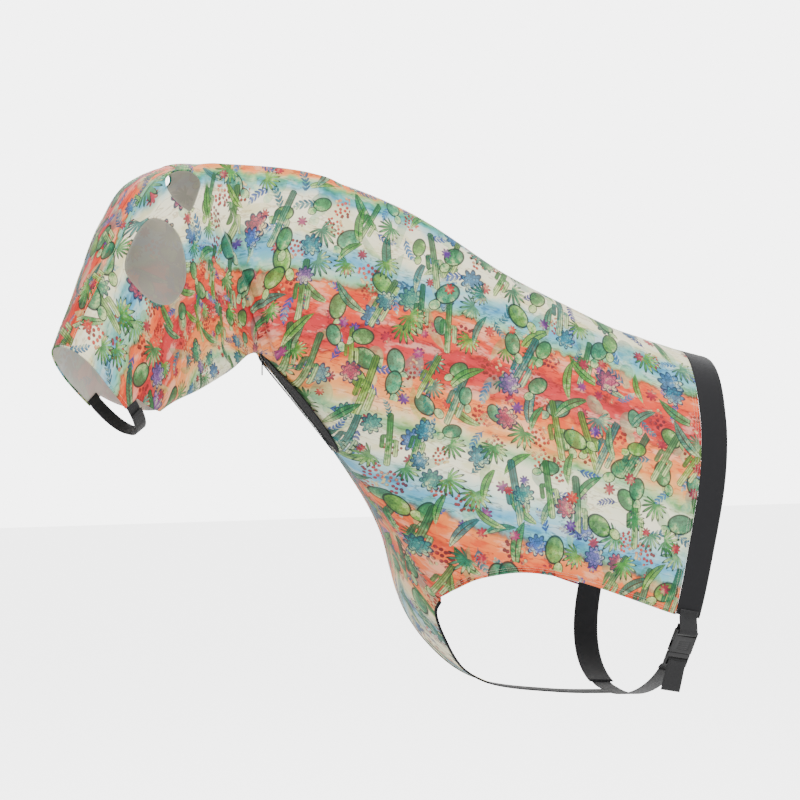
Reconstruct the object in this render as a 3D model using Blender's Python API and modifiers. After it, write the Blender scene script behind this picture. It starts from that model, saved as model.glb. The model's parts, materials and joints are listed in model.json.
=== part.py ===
"""Stretch hood for a horse: head, neck, shoulders and chest, closed by a throat zip, a chin strap
and a girth band with a side-release buckle.

Frame: metres, +Z up, the horse looks along -X, its near (left) side is -Y. The origin is the point of
the hood on the top line at the withers. The worn shape is one smooth form, form(s, w): s runs from the
nose (0) to the girth (14), w runs round the horse from the top line (0) to the bottom line (+1 on the
off side, -1 on the near side). Every panel, hem, band and strap is cut out of that form.
"""

import math

import bmesh
import bpy
from mathutils import Matrix, Vector
from mathutils.geometry import delaunay_2d_cdt

# ---------------------------------------------------------------- driving dimensions (metres)
# One row per station of the worn form: top x, top z, bottom x, bottom z, and the half-width as
# three sine terms (mean width, upper/lower fullness, squareness).
STATIONS = (
    (-1.278, 0.026, -1.142, -0.134, 0.062, 0.004, 0.004),   # 0 nose opening
    (-1.242, 0.106, -1.062, -0.086, 0.068, 0.006, 0.004),
    (-1.204, 0.181, -0.990, -0.056, 0.082, 0.014, 0.002),   # 2 cheek
    (-1.164, 0.251, -0.925, -0.024, 0.092, 0.022, 0.002),
    (-1.114, 0.316, -0.884, 0.008, 0.090, 0.020, 0.004),    # 4 forehead, angle of the jaw
    (-1.034, 0.348, -0.862, 0.008, 0.084, 0.004, 0.006),    # 5 poll, throat
    (-0.945, 0.346, -0.845, -0.016, 0.080, -0.010, 0.004),
    (-0.775, 0.334, -0.785, -0.090, 0.080, -0.014, 0.004),  # 7 upper neck
    (-0.582, 0.268, -0.696, -0.205, 0.090, -0.018, 0.006),
    (-0.385, 0.150, -0.620, -0.335, 0.125, -0.028, 0.010),  # 9 base of the neck
    (-0.200, 0.062, -0.582, -0.458, 0.185, -0.045, 0.010),
    (-0.115, 0.030, -0.525, -0.545, 0.225, -0.048, 0.012),  # 11 point of the shoulder
    (-0.058, 0.012, -0.435, -0.610, 0.240, -0.040, 0.016),
    (-0.020, 0.002, -0.290, -0.636, 0.246, -0.030, 0.020),  # 13 behind the shoulder
    (0.018, -0.008, -0.145, -0.645, 0.250, -0.022, 0.020),  # 14 girth
)
HEAD_TURN = math.radians(24.0)      # the head looks towards the near side
TURN_X = -0.868                     # the turn starts just in front of the throat
TURN_LENGTH = 0.20

FABRIC = 0.002                      # knitted fabric, with its seam allowance
HEM = 0.0028
HEM_WIDTH = 0.009
GUSSET_BINDING = 0.007
BAND = 0.0024                       # woven elastic
BAND_WIDTH = 0.050
STRAP_WIDTH = 0.038
STRAP = 0.0016
GAP = 0.0011                        # cut edge to cut edge
SEAM = 0.004                        # half a seam's gap, as a share of the half girth

# Outlines on the form, as (s, w) on one side. They are mirrored for the other side.
FACE_SEAM = ((0.05, 0.100), (1.1, 0.102), (2.2, 0.106), (3.5, 0.092), (4.4, 0.078), (4.86, 0.072))
NOSE_EDGE = ((0.05, 0.104), (0.05, 0.25), (0.05, 0.42), (0.08, 0.54), (0.10, 0.625))
CHIN_EDGE = ((0.10, 0.625), (0.42, 0.635), (0.56, 0.74), (0.78, 0.87), (1.00, 0.994))
ZIP_EDGE = ((4.66, 0.952), (6.20, 0.955), (7.74, 0.960))
GUSSET_SEAM = ((7.78, 0.962), (8.6, 0.927), (9.4, 0.888), (10.02, 0.850))
LEG_ARCH = ((10.02, 0.850), (10.06, 0.800), (10.20, 0.738), (10.55, 0.680), (11.0, 0.643),
            (11.6, 0.618), (12.2, 0.612), (13.0, 0.629), (13.63, 0.648))
GIRTH_EDGE = ((13.63, 0.648), (13.54, 0.53), (13.43, 0.41), (13.22, 0.32), (12.92, 0.24),
              (12.62, 0.15), (12.50, 0.08), (12.45, 0.0))
BELLY_EDGE = ((13.72, 1.0), (13.70, 0.80), (13.63, 0.648))
GUSSET_LEG = ((10.10, 0.856), (10.20, 0.884), (10.42, 0.900), (10.80, 0.918), (11.15, 0.940),
              (11.55, 0.962), (12.02, 0.968))
EYE = ((3.30, 0.170), (3.48, 0.300), (2.95, 0.420), (2.25, 0.435), (1.90, 0.340), (2.00, 0.195),
       (2.62, 0.152))
EAR = ((4.72, 0.094), (5.08, 0.126), (5.14, 0.200), (4.62, 0.268), (4.12, 0.285), (4.02, 0.200),
       (4.32, 0.114))

ZIP_TOP_S, ZIP_END_S = 5.30, 7.66
TAPE_WIDTH = 0.0115
TEETH_WIDTH = 0.0022
TAB_PIVOT = (0.0, 0.0062, 0.0050)

CHIN_WIDTH = 0.025
CHIN_LIFT = 0.0005
PATCH = 0.0008                      # hook or loop tape

BUCKLE_W = 0.046
SOCKET_L = 0.032
BUCKLE_T = 0.011
BUCKLE_AT_W = 0.712                 # where the buckle's middle lies, round the horse
BUCKLE_MID = 0.022
BUCKLE_LIFT = 0.0098                # of its middle plane over the horse's side
BODY_RADIUS_ABOVE = 0.25            # of the horse's side there, above and below the buckle
BODY_RADIUS_BELOW = 0.135
BAND_END_W = 0.930                  # the off side band ends under the belly
STRAP_END_W = 1.214
STRAP_END_LIFT = 0.0012
DIVIDER_END_S = 13.758

BLACK = (0.012, 0.012, 0.014)
NYLON = (0.02, 0.02, 0.022)
PRINT = {"teal": (0.36, 0.66, 0.60), "orange": (0.86, 0.33, 0.15), "cream": (0.80, 0.80, 0.62)}


# ---------------------------------------------------------------- the worn form
def station(s):
    """Smooth values between two stations (Catmull-Rom)."""
    last = len(STATIONS) - 1
    s = min(max(s, 0.0), float(last))
    i = min(int(s), last - 1)
    f = s - i
    p1, p2 = STATIONS[i], STATIONS[i + 1]
    p0 = STATIONS[i - 1] if i > 0 else [2 * a - b for a, b in zip(p1, p2)]
    p3 = STATIONS[i + 2] if i + 2 <= last else [2 * b - a for a, b in zip(p1, p2)]
    values = []
    for a, b, c, d in zip(p0, p1, p2, p3):
        values.append(0.5 * (2 * b + (c - a) * f + (2 * a - 5 * b + 4 * c - d) * f ** 2
                             + (3 * b - a - 3 * c + d) * f ** 3))
    return values


def turned(p):
    """Turn the head towards the near side, on an arc in front of TURN_X."""
    ahead = TURN_X - p.x
    if ahead <= 0.0:
        return p
    rate = HEAD_TURN / TURN_LENGTH
    angle = min(ahead, TURN_LENGTH) * rate
    past = max(ahead - TURN_LENGTH, 0.0)
    x = TURN_X - math.sin(angle) / rate - past * math.cos(angle) - p.y * math.sin(angle)
    y = -(1 - math.cos(angle)) / rate - past * math.sin(angle) + p.y * math.cos(angle)
    return Vector((x, y, p.z))


def form(s, w):
    """The point of the worn form at station s and round the horse at w."""
    tx, tz, bx, bz, mean, skew, square = station(s)
    angle = math.pi * w
    down = (1 - math.cos(angle)) / 2
    wide = mean * math.sin(angle) + skew * math.sin(2 * angle) + square * math.sin(3 * angle)
    return turned(Vector((tx + (bx - tx) * down, wide, tz + (bz - tz) * down)))


def outward(s, w):
    """The form's outward normal."""
    h = 0.002
    back = 1.0 if s < 1.0 else -1.0
    along = (form(s + h * back, w) - form(s, w)) * back
    round_ = form(s, w + h) - form(s, w - h)
    return along.cross(round_).normalized()


# ---------------------------------------------------------------- scene, materials, objects
def clear_scene():
    for ob in list(bpy.data.objects):
        bpy.data.objects.remove(ob, do_unlink=True)
    for me in list(bpy.data.meshes):
        bpy.data.meshes.remove(me)


def new_collection(name):
    coll = bpy.data.collections.new(name)
    bpy.context.scene.collection.children.link(coll)
    return coll


def material(name, colour, roughness, metallic=0.0):
    mat = bpy.data.materials.get(name)
    if mat:
        return mat
    mat = bpy.data.materials.new(name)
    mat.use_nodes = True
    shader = mat.node_tree.nodes["Principled BSDF"]
    shader.inputs["Base Color"].default_value = (*colour, 1.0)
    shader.inputs["Roughness"].default_value = roughness
    shader.inputs["Metallic"].default_value = metallic
    return mat


def add_object(name, mesh, coll, mat, matrix=None):
    ob = bpy.data.objects.new(name, mesh)
    coll.objects.link(ob)
    mesh.materials.append(mat)
    if matrix is not None:
        ob.matrix_world = matrix
    return ob


def solidify(ob, thickness, offset=0.0):
    mod = ob.modifiers.new("Thickness", "SOLIDIFY")
    mod.thickness = thickness
    mod.offset = offset
    return mod


def bevel(ob, width, segments=2):
    mod = ob.modifiers.new("Edges", "BEVEL")
    mod.width = width
    mod.segments = segments
    mod.limit_method = "ANGLE"
    mod.angle_limit = math.radians(40)
    return mod


# ---------------------------------------------------------------- outlines on the form
def smooth(points, step, closed=False):
    """A Catmull-Rom curve through points, with about one point every step metres on the form."""
    pts = [Vector(p) for p in points]
    n = len(pts)
    spans = n if closed else n - 1
    out = []
    for i in range(spans):
        if closed:
            a, b, c, d = (pts[(i + k) % n] for k in (-1, 0, 1, 2))
        else:
            b, c = pts[i], pts[i + 1]
            a = pts[i - 1] if i > 0 else 2 * b - c
            d = pts[i + 2] if i + 2 < n else 2 * c - b
        length = (form(*b) - form(*c)).length
        cuts = max(1, round(length / step))
        for k in range(cuts):
            f = k / cuts
            out.append(0.5 * (2 * b + (c - a) * f + (2 * a - 5 * b + 4 * c - d) * f ** 2
                              + (3 * b - a - 3 * c + d) * f ** 3))
    if not closed:
        out.append(pts[-1])
    return out


def mirrored(points):
    return [(s, -w) for s, w in points]


def inside(point, loop):
    """Whether a point of the (s, w) plane lies inside a closed loop."""
    hit = False
    for a, b in zip(loop, loop[1:] + loop[:1]):
        if (a[1] > point[1]) != (b[1] > point[1]):
            if point[0] < (b[0] - a[0]) * (point[1] - a[1]) / (b[1] - a[1]) + a[0]:
                hit = not hit
    return hit


def near_loop(point, loop, reach):
    spot = Vector((point[0] * 0.1, point[1] * 0.6))
    return any((spot - Vector((q[0] * 0.1, q[1] * 0.6))).length < reach for q in loop)


def panel(name, loops, coll, mat, thickness=FABRIC, grid=0.034):
    """A panel of fabric on the form: the first loop is its edge, and the others are its openings."""
    edge, holes = loops[0], loops[1:]
    lows = (min(p[0] for p in edge), min(p[1] for p in edge))
    highs = (max(p[0] for p in edge), max(p[1] for p in edge))
    flat, lines = [], []
    for loop in loops:
        first = len(flat)
        flat += [Vector((p[0], p[1])) for p in loop]
        lines += [(first + k, first + (k + 1) % len(loop)) for k in range(len(loop))]
    rows = int((highs[0] - lows[0]) * 0.1 / grid) + 1
    cols = int((highs[1] - lows[1]) * 0.6 / grid) + 1
    every = [tuple(p) for loop in loops for p in loop]
    for i in range(rows + 1):
        for j in range(cols + 1):
            p = (lows[0] + (highs[0] - lows[0]) * i / rows, lows[1] + (highs[1] - lows[1]) * j / cols)
            if inside(p, edge) and not any(inside(p, h) for h in holes):
                if not near_loop(p, every, grid * 0.45):
                    flat.append(Vector(p))
    scaled = [Vector((p[0] * 0.1, p[1] * 0.6)) for p in flat]
    verts, _, faces, *_ = delaunay_2d_cdt(scaled, lines, [], 0, 1e-6)
    kept = []
    for face in faces:
        middle = sum((verts[k] for k in face), Vector((0, 0))) / len(face)
        spot = (middle[0] / 0.1, middle[1] / 0.6)
        if inside(spot, edge) and not any(inside(spot, h) for h in holes):
            kept.append(face)
    mesh = bpy.data.meshes.new(name)
    mesh.from_pydata([form(v[0] / 0.1, v[1] / 0.6) for v in verts], [], kept)
    bm = bmesh.new()
    bm.from_mesh(mesh)
    bmesh.ops.delete(bm, geom=[v for v in bm.verts if not v.link_faces], context="VERTS")
    bmesh.ops.recalc_face_normals(bm, faces=bm.faces)
    bm.to_mesh(mesh)
    bm.free()
    mesh.shade_smooth()
    ob = add_object(name, mesh, coll, mat)
    solidify(ob, thickness)
    return ob


def strip(name, rows, coll, mat, thickness, closed=False, matrix=None):
    """A ribbon: each row holds the two or more points across it, and it is given a thickness."""
    bm = bmesh.new()
    lines = [[bm.verts.new(p) for p in row] for row in rows]
    pairs = list(zip(lines, lines[1:]))
    if closed:
        pairs.append((lines[-1], lines[0]))
    for a, b in pairs:
        for k in range(len(a) - 1):
            bm.faces.new((a[k], a[k + 1], b[k + 1], b[k]))
    bmesh.ops.recalc_face_normals(bm, faces=bm.faces)
    mesh = bpy.data.meshes.new(name)
    bm.to_mesh(mesh)
    bm.free()
    mesh.shade_smooth()
    ob = add_object(name, mesh, coll, mat, matrix)
    solidify(ob, thickness)
    return ob


def edge_rows(path, start, width, lift=0.0, flip=False, closed=False, across=1):
    """Rows of a ribbon beside a path on the form, from start to start + width away from it.

    lift is the height over the form, or a function of w that gives it.
    """
    rows = []
    count = len(path)
    height = lift if callable(lift) else (lambda w: lift)
    for k, p in enumerate(path):
        here = form(*p)
        ahead = form(*path[(k + 1) % count if closed else min(k + 1, count - 1)])
        behind = form(*path[(k - 1) % count if closed else max(k - 1, 0)])
        up = outward(*p)
        side = (ahead - behind).normalized().cross(up).normalized()
        if flip:
            side = -side
        base = here + up * height(p[1])
        rows.append([base + side * (start + width * i / across) for i in range(across + 1)])
    return rows


# ---------------------------------------------------------------- fabric panels and hems
def side_edge():
    """The edge of one side panel, in order round it."""
    crest = [(s, SEAM) for s in (12.45, 11.6, 10.6, 9.6, 8.6, 7.6, 6.6, 5.7, 4.94)]
    jaw = [(s, 0.994) for s in (1.0, 2.0, 3.0, 4.0, 4.62)]
    step = 0.03
    loop = smooth(NOSE_EDGE, step)[:-1]
    loop += [Vector(CHIN_EDGE[0])] + smooth(CHIN_EDGE[1:], step)[:-1]
    loop += smooth(jaw, step)
    loop += smooth(ZIP_EDGE, step)
    loop += smooth(GUSSET_SEAM, step)[:-1]
    loop += smooth(LEG_ARCH, step)[:-1]
    loop += smooth(GIRTH_EDGE, step)[:-1]
    loop += smooth(crest, step)
    loop += smooth(tuple(reversed([(s, w + 0.004) for s, w in FACE_SEAM])), step)
    return loop


def build_fabric(coll):
    left = material("printed_knit_left", PRINT["teal"], 0.75)
    right = material("printed_knit_right", PRINT["orange"], 0.75)
    cream = material("printed_knit_front", PRINT["cream"], 0.75)
    hem = material("hem_binding", BLACK, 0.8)
    edge = side_edge()
    eye, ear = smooth(EYE, 0.014, True), smooth(EAR, 0.014, True)
    leg = smooth(LEG_ARCH, 0.02)
    for name, flip, mat in (("left", True, left), ("right", False, right)):
        sign = mirrored if flip else list
        loops = [sign([tuple(p) for p in loop]) for loop in (edge, eye, ear)]
        panel(name + "_side_panel", loops, coll, mat)
        for part, path in (("eye", eye), ("ear", ear)):
            rows = edge_rows(sign([tuple(p) for p in path]), GAP, HEM_WIDTH * 0.7, flip=not flip, closed=True)
            strip(f"{name}_{part}_binding", rows, coll, hem, HEM, closed=True)
        rows = edge_rows(sign([tuple(p) for p in leg[2:-1]]), GAP, HEM_WIDTH, flip=not flip)
        strip(name + "_leg_hem", rows, coll, hem, HEM)

    seam = smooth(FACE_SEAM, 0.03)
    loop = [(s, w) for s, w in seam] + [(4.90, 0.0)] + [(s, -w) for s, w in reversed(seam)]
    panel("forehead_panel", [loop], coll, cream)

    nose = smooth(NOSE_EDGE, 0.016)[:-1]
    path = [(p[0], -p[1]) for p in reversed(nose)] + [(0.05, -0.05), (0.05, 0.0), (0.05, 0.05)]
    path += [(p[0], p[1]) for p in nose]
    strip("nose_hem", edge_rows(path, GAP, HEM_WIDTH, flip=True), coll, hem, HEM)

    seam = [(s + 0.02, w + 0.006) for s, w in smooth(GUSSET_SEAM, 0.03)]
    leg = smooth(GUSSET_LEG, 0.02)
    half = [tuple(p) for p in seam] + [tuple(p) for p in leg]
    loop = half + [(s, 2 - w) for s, w in reversed(half)]
    panel("chest_gusset", [loop], coll, cream)
    for name, sign in (("left", -1), ("right", 1)):
        path = [(p[0], sign * p[1]) for p in leg[1:]]
        strip(name + "_gusset_binding", edge_rows(path, GAP, GUSSET_BINDING, flip=sign < 0),
              coll, hem, HEM)


# ---------------------------------------------------------------- girth band and belly straps
def girth_edge_at(w):
    """The s of the panels' rear edge at w, down to the belly line; w past 1 is the other side."""
    w = min(abs(w), 2 - abs(w))
    path = smooth(BELLY_EDGE + GIRTH_EDGE[1:], 0.02)
    for a, b in zip(path, path[1:]):
        if a[1] >= w >= b[1]:
            return a[0] + (b[0] - a[0]) * (a[1] - w) / (a[1] - b[1])
    return path[-1][0]


def girth_path(start, end, count):
    """Points along the rear edge from w = start to w = end."""
    spots = [start + (end - start) * k / count for k in range(count + 1)]
    return [(girth_edge_at(w), w) for w in spots]


def strap_lift(w):
    """The belly strap lies over the end of the off side band, then on the belly."""
    over = min(max((BAND_END_W + 0.035 - w) / 0.02, 0.0), 1.0)
    up = min(max((w - STRAP_END_W + 0.10) / 0.10, 0.0), 1.0)
    return 0.0010 + 0.0016 * over + STRAP_END_LIFT * up * up


def build_bands(coll):
    elastic = material("black_elastic", BLACK, 0.85)
    webbing = material("black_webbing", NYLON, 0.8)
    rows = edge_rows(girth_path(-0.648, -0.004, 20), GAP, BAND_WIDTH, across=2)
    strip("girth_band_left", rows, coll, elastic, BAND)
    rows = edge_rows(girth_path(BAND_END_W, 0.004, 28), GAP, BAND_WIDTH, flip=True, across=2)
    strip("girth_band_right", rows, coll, elastic, BAND)

    margin = GAP + (BAND_WIDTH - STRAP_WIDTH) / 2
    path = girth_path(BAND_END_W - 0.025, STRAP_END_W, 16)
    rows = edge_rows(path, margin, STRAP_WIDTH, lift=strap_lift, across=2)
    strip("belly_strap", rows, coll, webbing, STRAP)

    path = [(12.032 + (DIVIDER_END_S - 12.032) * k / 6, 1.0) for k in range(7)]
    rows = edge_rows(path, -0.021, 0.042, across=2)
    strip("leg_divider_elastic", rows, coll, elastic, BAND)


# ---------------------------------------------------------------- buckle
def buckle_frame():
    """The buckle's frame: X forward across the strap, Y down it, Z away from the horse."""
    w = BUCKLE_AT_W
    s = girth_edge_at(w)
    here = form(s, -w)
    up = outward(s, -w)
    if up.y > 0:
        up = -up
    down = form(girth_edge_at(w + 0.04), -w - 0.04) - form(girth_edge_at(w - 0.04), -w + 0.04)
    down = (down - up * down.dot(up)).normalized()
    across = down.cross(up).normalized()
    matrix = Matrix((across, down, up)).transposed().to_4x4()
    matrix.translation = here - across * (GAP + BAND_WIDTH / 2) + up * BUCKLE_LIFT - down * BUCKLE_MID
    return matrix


def on_body(a, n):
    """A point of the strap near the buckle, n over the horse's rounded side."""
    radius = BODY_RADIUS_BELOW if a > BUCKLE_MID else BODY_RADIUS_ABOVE
    return (a, n - BUCKLE_LIFT - (a - BUCKLE_MID) ** 2 / (2 * radius))


def box(name, low, high, coll, mat, parent=None):
    """A box between two corners, as its own mesh object with its origin at its middle."""
    bm = bmesh.new()
    bmesh.ops.create_cube(bm, size=1.0)
    size = [h - l for l, h in zip(low, high)]
    bmesh.ops.scale(bm, vec=size, verts=bm.verts)
    mesh = bpy.data.meshes.new(name)
    bm.to_mesh(mesh)
    bm.free()
    ob = add_object(name, mesh, coll, mat)
    ob.location = [(l + h) / 2 for l, h in zip(low, high)]
    ob.parent = parent
    return ob


def cut(ob, cutter, operation="DIFFERENCE"):
    mod = ob.modifiers.new(cutter.name, "BOOLEAN")
    mod.operation = operation
    mod.object = cutter
    mod.solver = "EXACT"


def cutter_box(name, low, high, coll, parent):
    ob = box(name, low, high, coll, material("cutter", (1, 0, 0), 1.0), parent)
    ob.display_type = "WIRE"
    ob.hide_render = True
    return ob


def empty(name, coll, matrix):
    ob = bpy.data.objects.new(name, None)
    coll.objects.link(ob)
    ob.matrix_world = matrix
    return ob


def build_buckle(coll, cutters):
    plastic = material("black_acetal", NYLON, 0.4)
    webbing = material("black_webbing", NYLON, 0.8)
    frame = empty("buckle_frame", coll, buckle_frame())
    w, t, length = BUCKLE_W / 2, BUCKLE_T / 2, SOCKET_L

    socket = box("buckle_socket", (-w, -0.013, -t), (w, length, t), coll, plastic, frame)
    cavity = cutter_box("socket_cavity", (-w + 0.0028, 0.0015, -t + 0.0022),
                        (w - 0.0028, length + 0.01, t - 0.0022), cutters, frame)
    slot = cutter_box("socket_slot", (-0.0198, -0.0085, -0.02), (0.0198, -0.002, 0.02), cutters, frame)
    window = cutter_box("socket_windows", (-w - 0.01, 0.009, -t + 0.0022),
                        (w + 0.01, 0.023, t - 0.0022), cutters, frame)
    for tool in (cavity, slot, window):
        cut(socket, tool)

    base = length + 0.0006
    plug = box("buckle_plug", (-w, base, -0.004), (w, base + 0.026, 0.004), coll, plastic, frame)
    tongue = cutter_box("plug_tongue", (-0.004, 0.006, -0.0022), (0.004, base + 0.002, 0.0022),
                        cutters, frame)
    cut(plug, tongue, "UNION")
    for name, start in (("plug_slot_upper", 0.0085), ("plug_slot_lower", 0.0175)):
        hole = cutter_box(name, (-0.0198, base + start, -0.02), (0.0198, base + start + 0.0055, 0.02),
                          cutters, frame)
        cut(plug, hole)
    for name, sign in (("buckle_prong_front", 1), ("buckle_prong_rear", -1)):
        inner, outer = sorted((sign * 0.0128, sign * 0.0188))
        box(name, (inner, 0.0085, -0.0024), (outer, base - 0.0004, 0.0024), coll, plastic, frame)

    # Webbing folded round the socket's bar: its outer leg is sewn over the end of the elastic.
    half = STRAP_WIDTH / 2
    loop = (on_body(-0.046, 0.0040), on_body(-0.034, 0.0036), (-0.0225, -0.0010), (-0.0165, 0.0052),
            (-0.0125, 0.0070), (-0.0070, 0.0066), (-0.0050, 0.0), (-0.0070, -0.0066),
            (-0.0125, -0.0070), (-0.0210, -0.0072))
    rows = [[Vector((-half, a, n)), Vector((half, a, n))] for a, n in loop]
    strip("socket_webbing_loop", rows, coll, webbing, STRAP).parent = frame

    # The strap comes up behind the plug, over its middle bar, and its tail hangs in front.
    start = base + 0.0145
    loop = (on_body(start + 0.030, 0.0022), on_body(start + 0.022, 0.0022), (start + 0.012, -0.0072),
            (start - 0.0005, -0.0062), (start - 0.0030, 0.0), (start - 0.0005, 0.0062))
    rows = [[Vector((-half, a, n)), Vector((half, a, n))] for a, n in loop]
    strip("plug_webbing_loop", rows, coll, webbing, STRAP).parent = frame
    tail = ((start + 0.0020, 0.0062), (start + 0.014, 0.0078), (start + 0.032, 0.0125),
            (start + 0.056, 0.0185))
    rows = []
    for k, (a, n) in enumerate(tail):
        wide = half + 0.0012 * k / (len(tail) - 1)
        rows.append([Vector((-wide, a, n)), Vector((wide, a, n))])
    strip("strap_tail", rows, coll, webbing, STRAP).parent = frame


# ---------------------------------------------------------------- throat zip
def zip_frame():
    """The zip's frame at its upper end: X across, Y down the zip, Z away from the throat."""
    top, end = form(ZIP_TOP_S, 1.0), form(ZIP_END_S, 1.0)
    down = (end - top).normalized()
    across = Vector((0.0, 1.0, 0.0))
    up = across.cross(down).normalized()
    matrix = Matrix((across, down, up)).transposed().to_4x4()
    matrix.translation = top
    return matrix, (end - top).length


def build_zip(coll, cutters):
    tape = material("zip_tape", BLACK, 0.8)
    teeth = material("zip_teeth", NYLON, 0.45)
    metal = material("zip_metal", (0.05, 0.05, 0.055), 0.35, 0.9)
    matrix, length = zip_frame()
    frame = empty("zip_frame", coll, matrix)
    for name, sign in (("left", -1), ("right", 1)):
        edge = sorted((sign * (0.0003 + TEETH_WIDTH + 0.0004), sign * TAPE_WIDTH))
        box("zipper_tape_" + name, (edge[0], -0.004, -0.0006), (edge[1], length, 0.0006),
            coll, tape, frame)
        edge = sorted((sign * 0.0002, sign * TEETH_WIDTH))
        box("zipper_teeth_" + name, (edge[0], 0.0085, -0.0012), (edge[1], length - 0.006, 0.0012),
            coll, teeth, frame)
        edge = sorted((sign * 0.0010, sign * 0.0024))
        box("zipper_top_stop_" + name, (edge[0], -0.0035, -0.0016), (edge[1], -0.0005, 0.0016),
            coll, metal, frame)
    box("zipper_bottom_stop", (-0.0030 + 0.0006, length - 0.0055, -0.0018),
        (0.0030 - 0.0006, length - 0.0015, 0.0018), coll, metal, frame)

    slider = box("zipper_slider", (-0.0052, 0.0002, 0.0016), (0.0052, 0.0112, 0.0032), coll, metal, frame)
    bottom = cutter_box("slider_back", (-0.0052, 0.0002, -0.0032), (0.0052, 0.0112, -0.0016),
                        cutters, frame)
    post = cutter_box("slider_post", (-0.0011, 0.0004, -0.0020), (0.0011, 0.0052, 0.0020), cutters, frame)
    arch = cutter_box("slider_arch", (-0.0012, 0.0015, 0.0030), (0.0012, 0.0097, 0.0078), cutters, frame)
    eye = cutter_box("slider_arch_eye", (-0.01, 0.0030, 0.0034), (0.01, 0.0082, 0.0066), cutters, frame)
    for tool in (bottom, post, arch):
        cut(slider, tool, "UNION")
    cut(slider, eye)

    # The pull tab hangs straight down from a bar through the slider's arch.
    pivot = empty("pull_tab_pivot", coll, matrix @ Matrix.Translation(TAB_PIVOT)
                  @ Matrix.Rotation(math.atan2(-matrix.col[2].z, -matrix.col[1].z), 4, "X"))
    tab = box("zipper_pull_tab", (-0.0032, -0.0012, -0.0006), (0.0032, 0.0268, 0.0006), coll, metal, pivot)
    hole = cutter_box("pull_tab_eye", (-0.0018, 0.0012, -0.01), (0.0018, 0.0050, 0.01), cutters, pivot)
    cut(tab, hole)
    grip = cutter_box("pull_tab_hole", (-0.0016, 0.0180, -0.01), (0.0016, 0.0230, 0.01), cutters, pivot)
    cut(tab, grip)


# ---------------------------------------------------------------- chin strap
def chin_rows(start, end, count, lift, rise=0.0):
    """Rows of the chin strap from w = start to w = end, its front edge level with the nose hem."""
    path = [(0.11, start + (end - start) * k / count) for k in range(count + 1)]
    rows = edge_rows(path, 0.0, CHIN_WIDTH, lift=lift, flip=start > end)
    for k, (row, p) in enumerate(zip(rows, path)):
        share = max(0.0, (k - count + 3) / 3)
        rows[k] = [q + outward(*p) * rise * share for q in row]
    return rows


def set_origin(ob, origin):
    """Move an object's origin without moving its mesh."""
    ob.data.transform(Matrix.Translation(-origin))
    ob.location = origin


def build_chin(coll):
    webbing = material("black_webbing", NYLON, 0.8)
    hook = material("hook_tape", BLACK, 0.95)
    tab_top = CHIN_LIFT + STRAP / 2
    loop_lift = tab_top + 0.0004 + PATCH / 2
    hook_lift = loop_lift + PATCH + 0.0004
    flap_lift = hook_lift + PATCH / 2 + 0.0004 + STRAP / 2
    strip("chin_strap_left", chin_rows(-0.800, -0.648, 6, CHIN_LIFT), coll, webbing, STRAP)
    strip("chin_loop_patch", chin_rows(-0.795, -0.700, 4, loop_lift), coll, hook, PATCH)
    rows = chin_rows(0.648, 1.100, 14, CHIN_LIFT, flap_lift - CHIN_LIFT)
    strip("chin_strap_right", rows, coll, webbing, STRAP)
    patch = strip("chin_hook_patch", chin_rows(-0.795, -0.700, 4, hook_lift), coll, hook, PATCH)
    rows = chin_rows(-0.892, -0.690, 8, flap_lift)
    flap = strip("chin_strap_flap", rows, coll, webbing, STRAP)
    hinge = (rows[0][0] + rows[0][-1]) / 2
    for ob in (flap, patch):
        set_origin(ob, hinge)


def main():
    clear_scene()
    coll = new_collection("stretch_hood")
    cutters = new_collection("cutters")
    build_fabric(coll)
    build_bands(coll)
    build_buckle(coll, cutters)
    build_zip(coll, cutters)
    build_chin(coll)


main()
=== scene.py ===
"""Looks of the stretch horse hood: printed knit panels on the worn form, hems, elastic, webbing, a
side-release buckle, a throat zip and a chin strap, with their materials, the studio and the camera."""

import json
import logging
import math
from dataclasses import dataclass
from enum import Enum

import bmesh
import bpy
import numpy as np
from mathutils import Matrix, Vector
from mathutils.geometry import delaunay_2d_cdt

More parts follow.
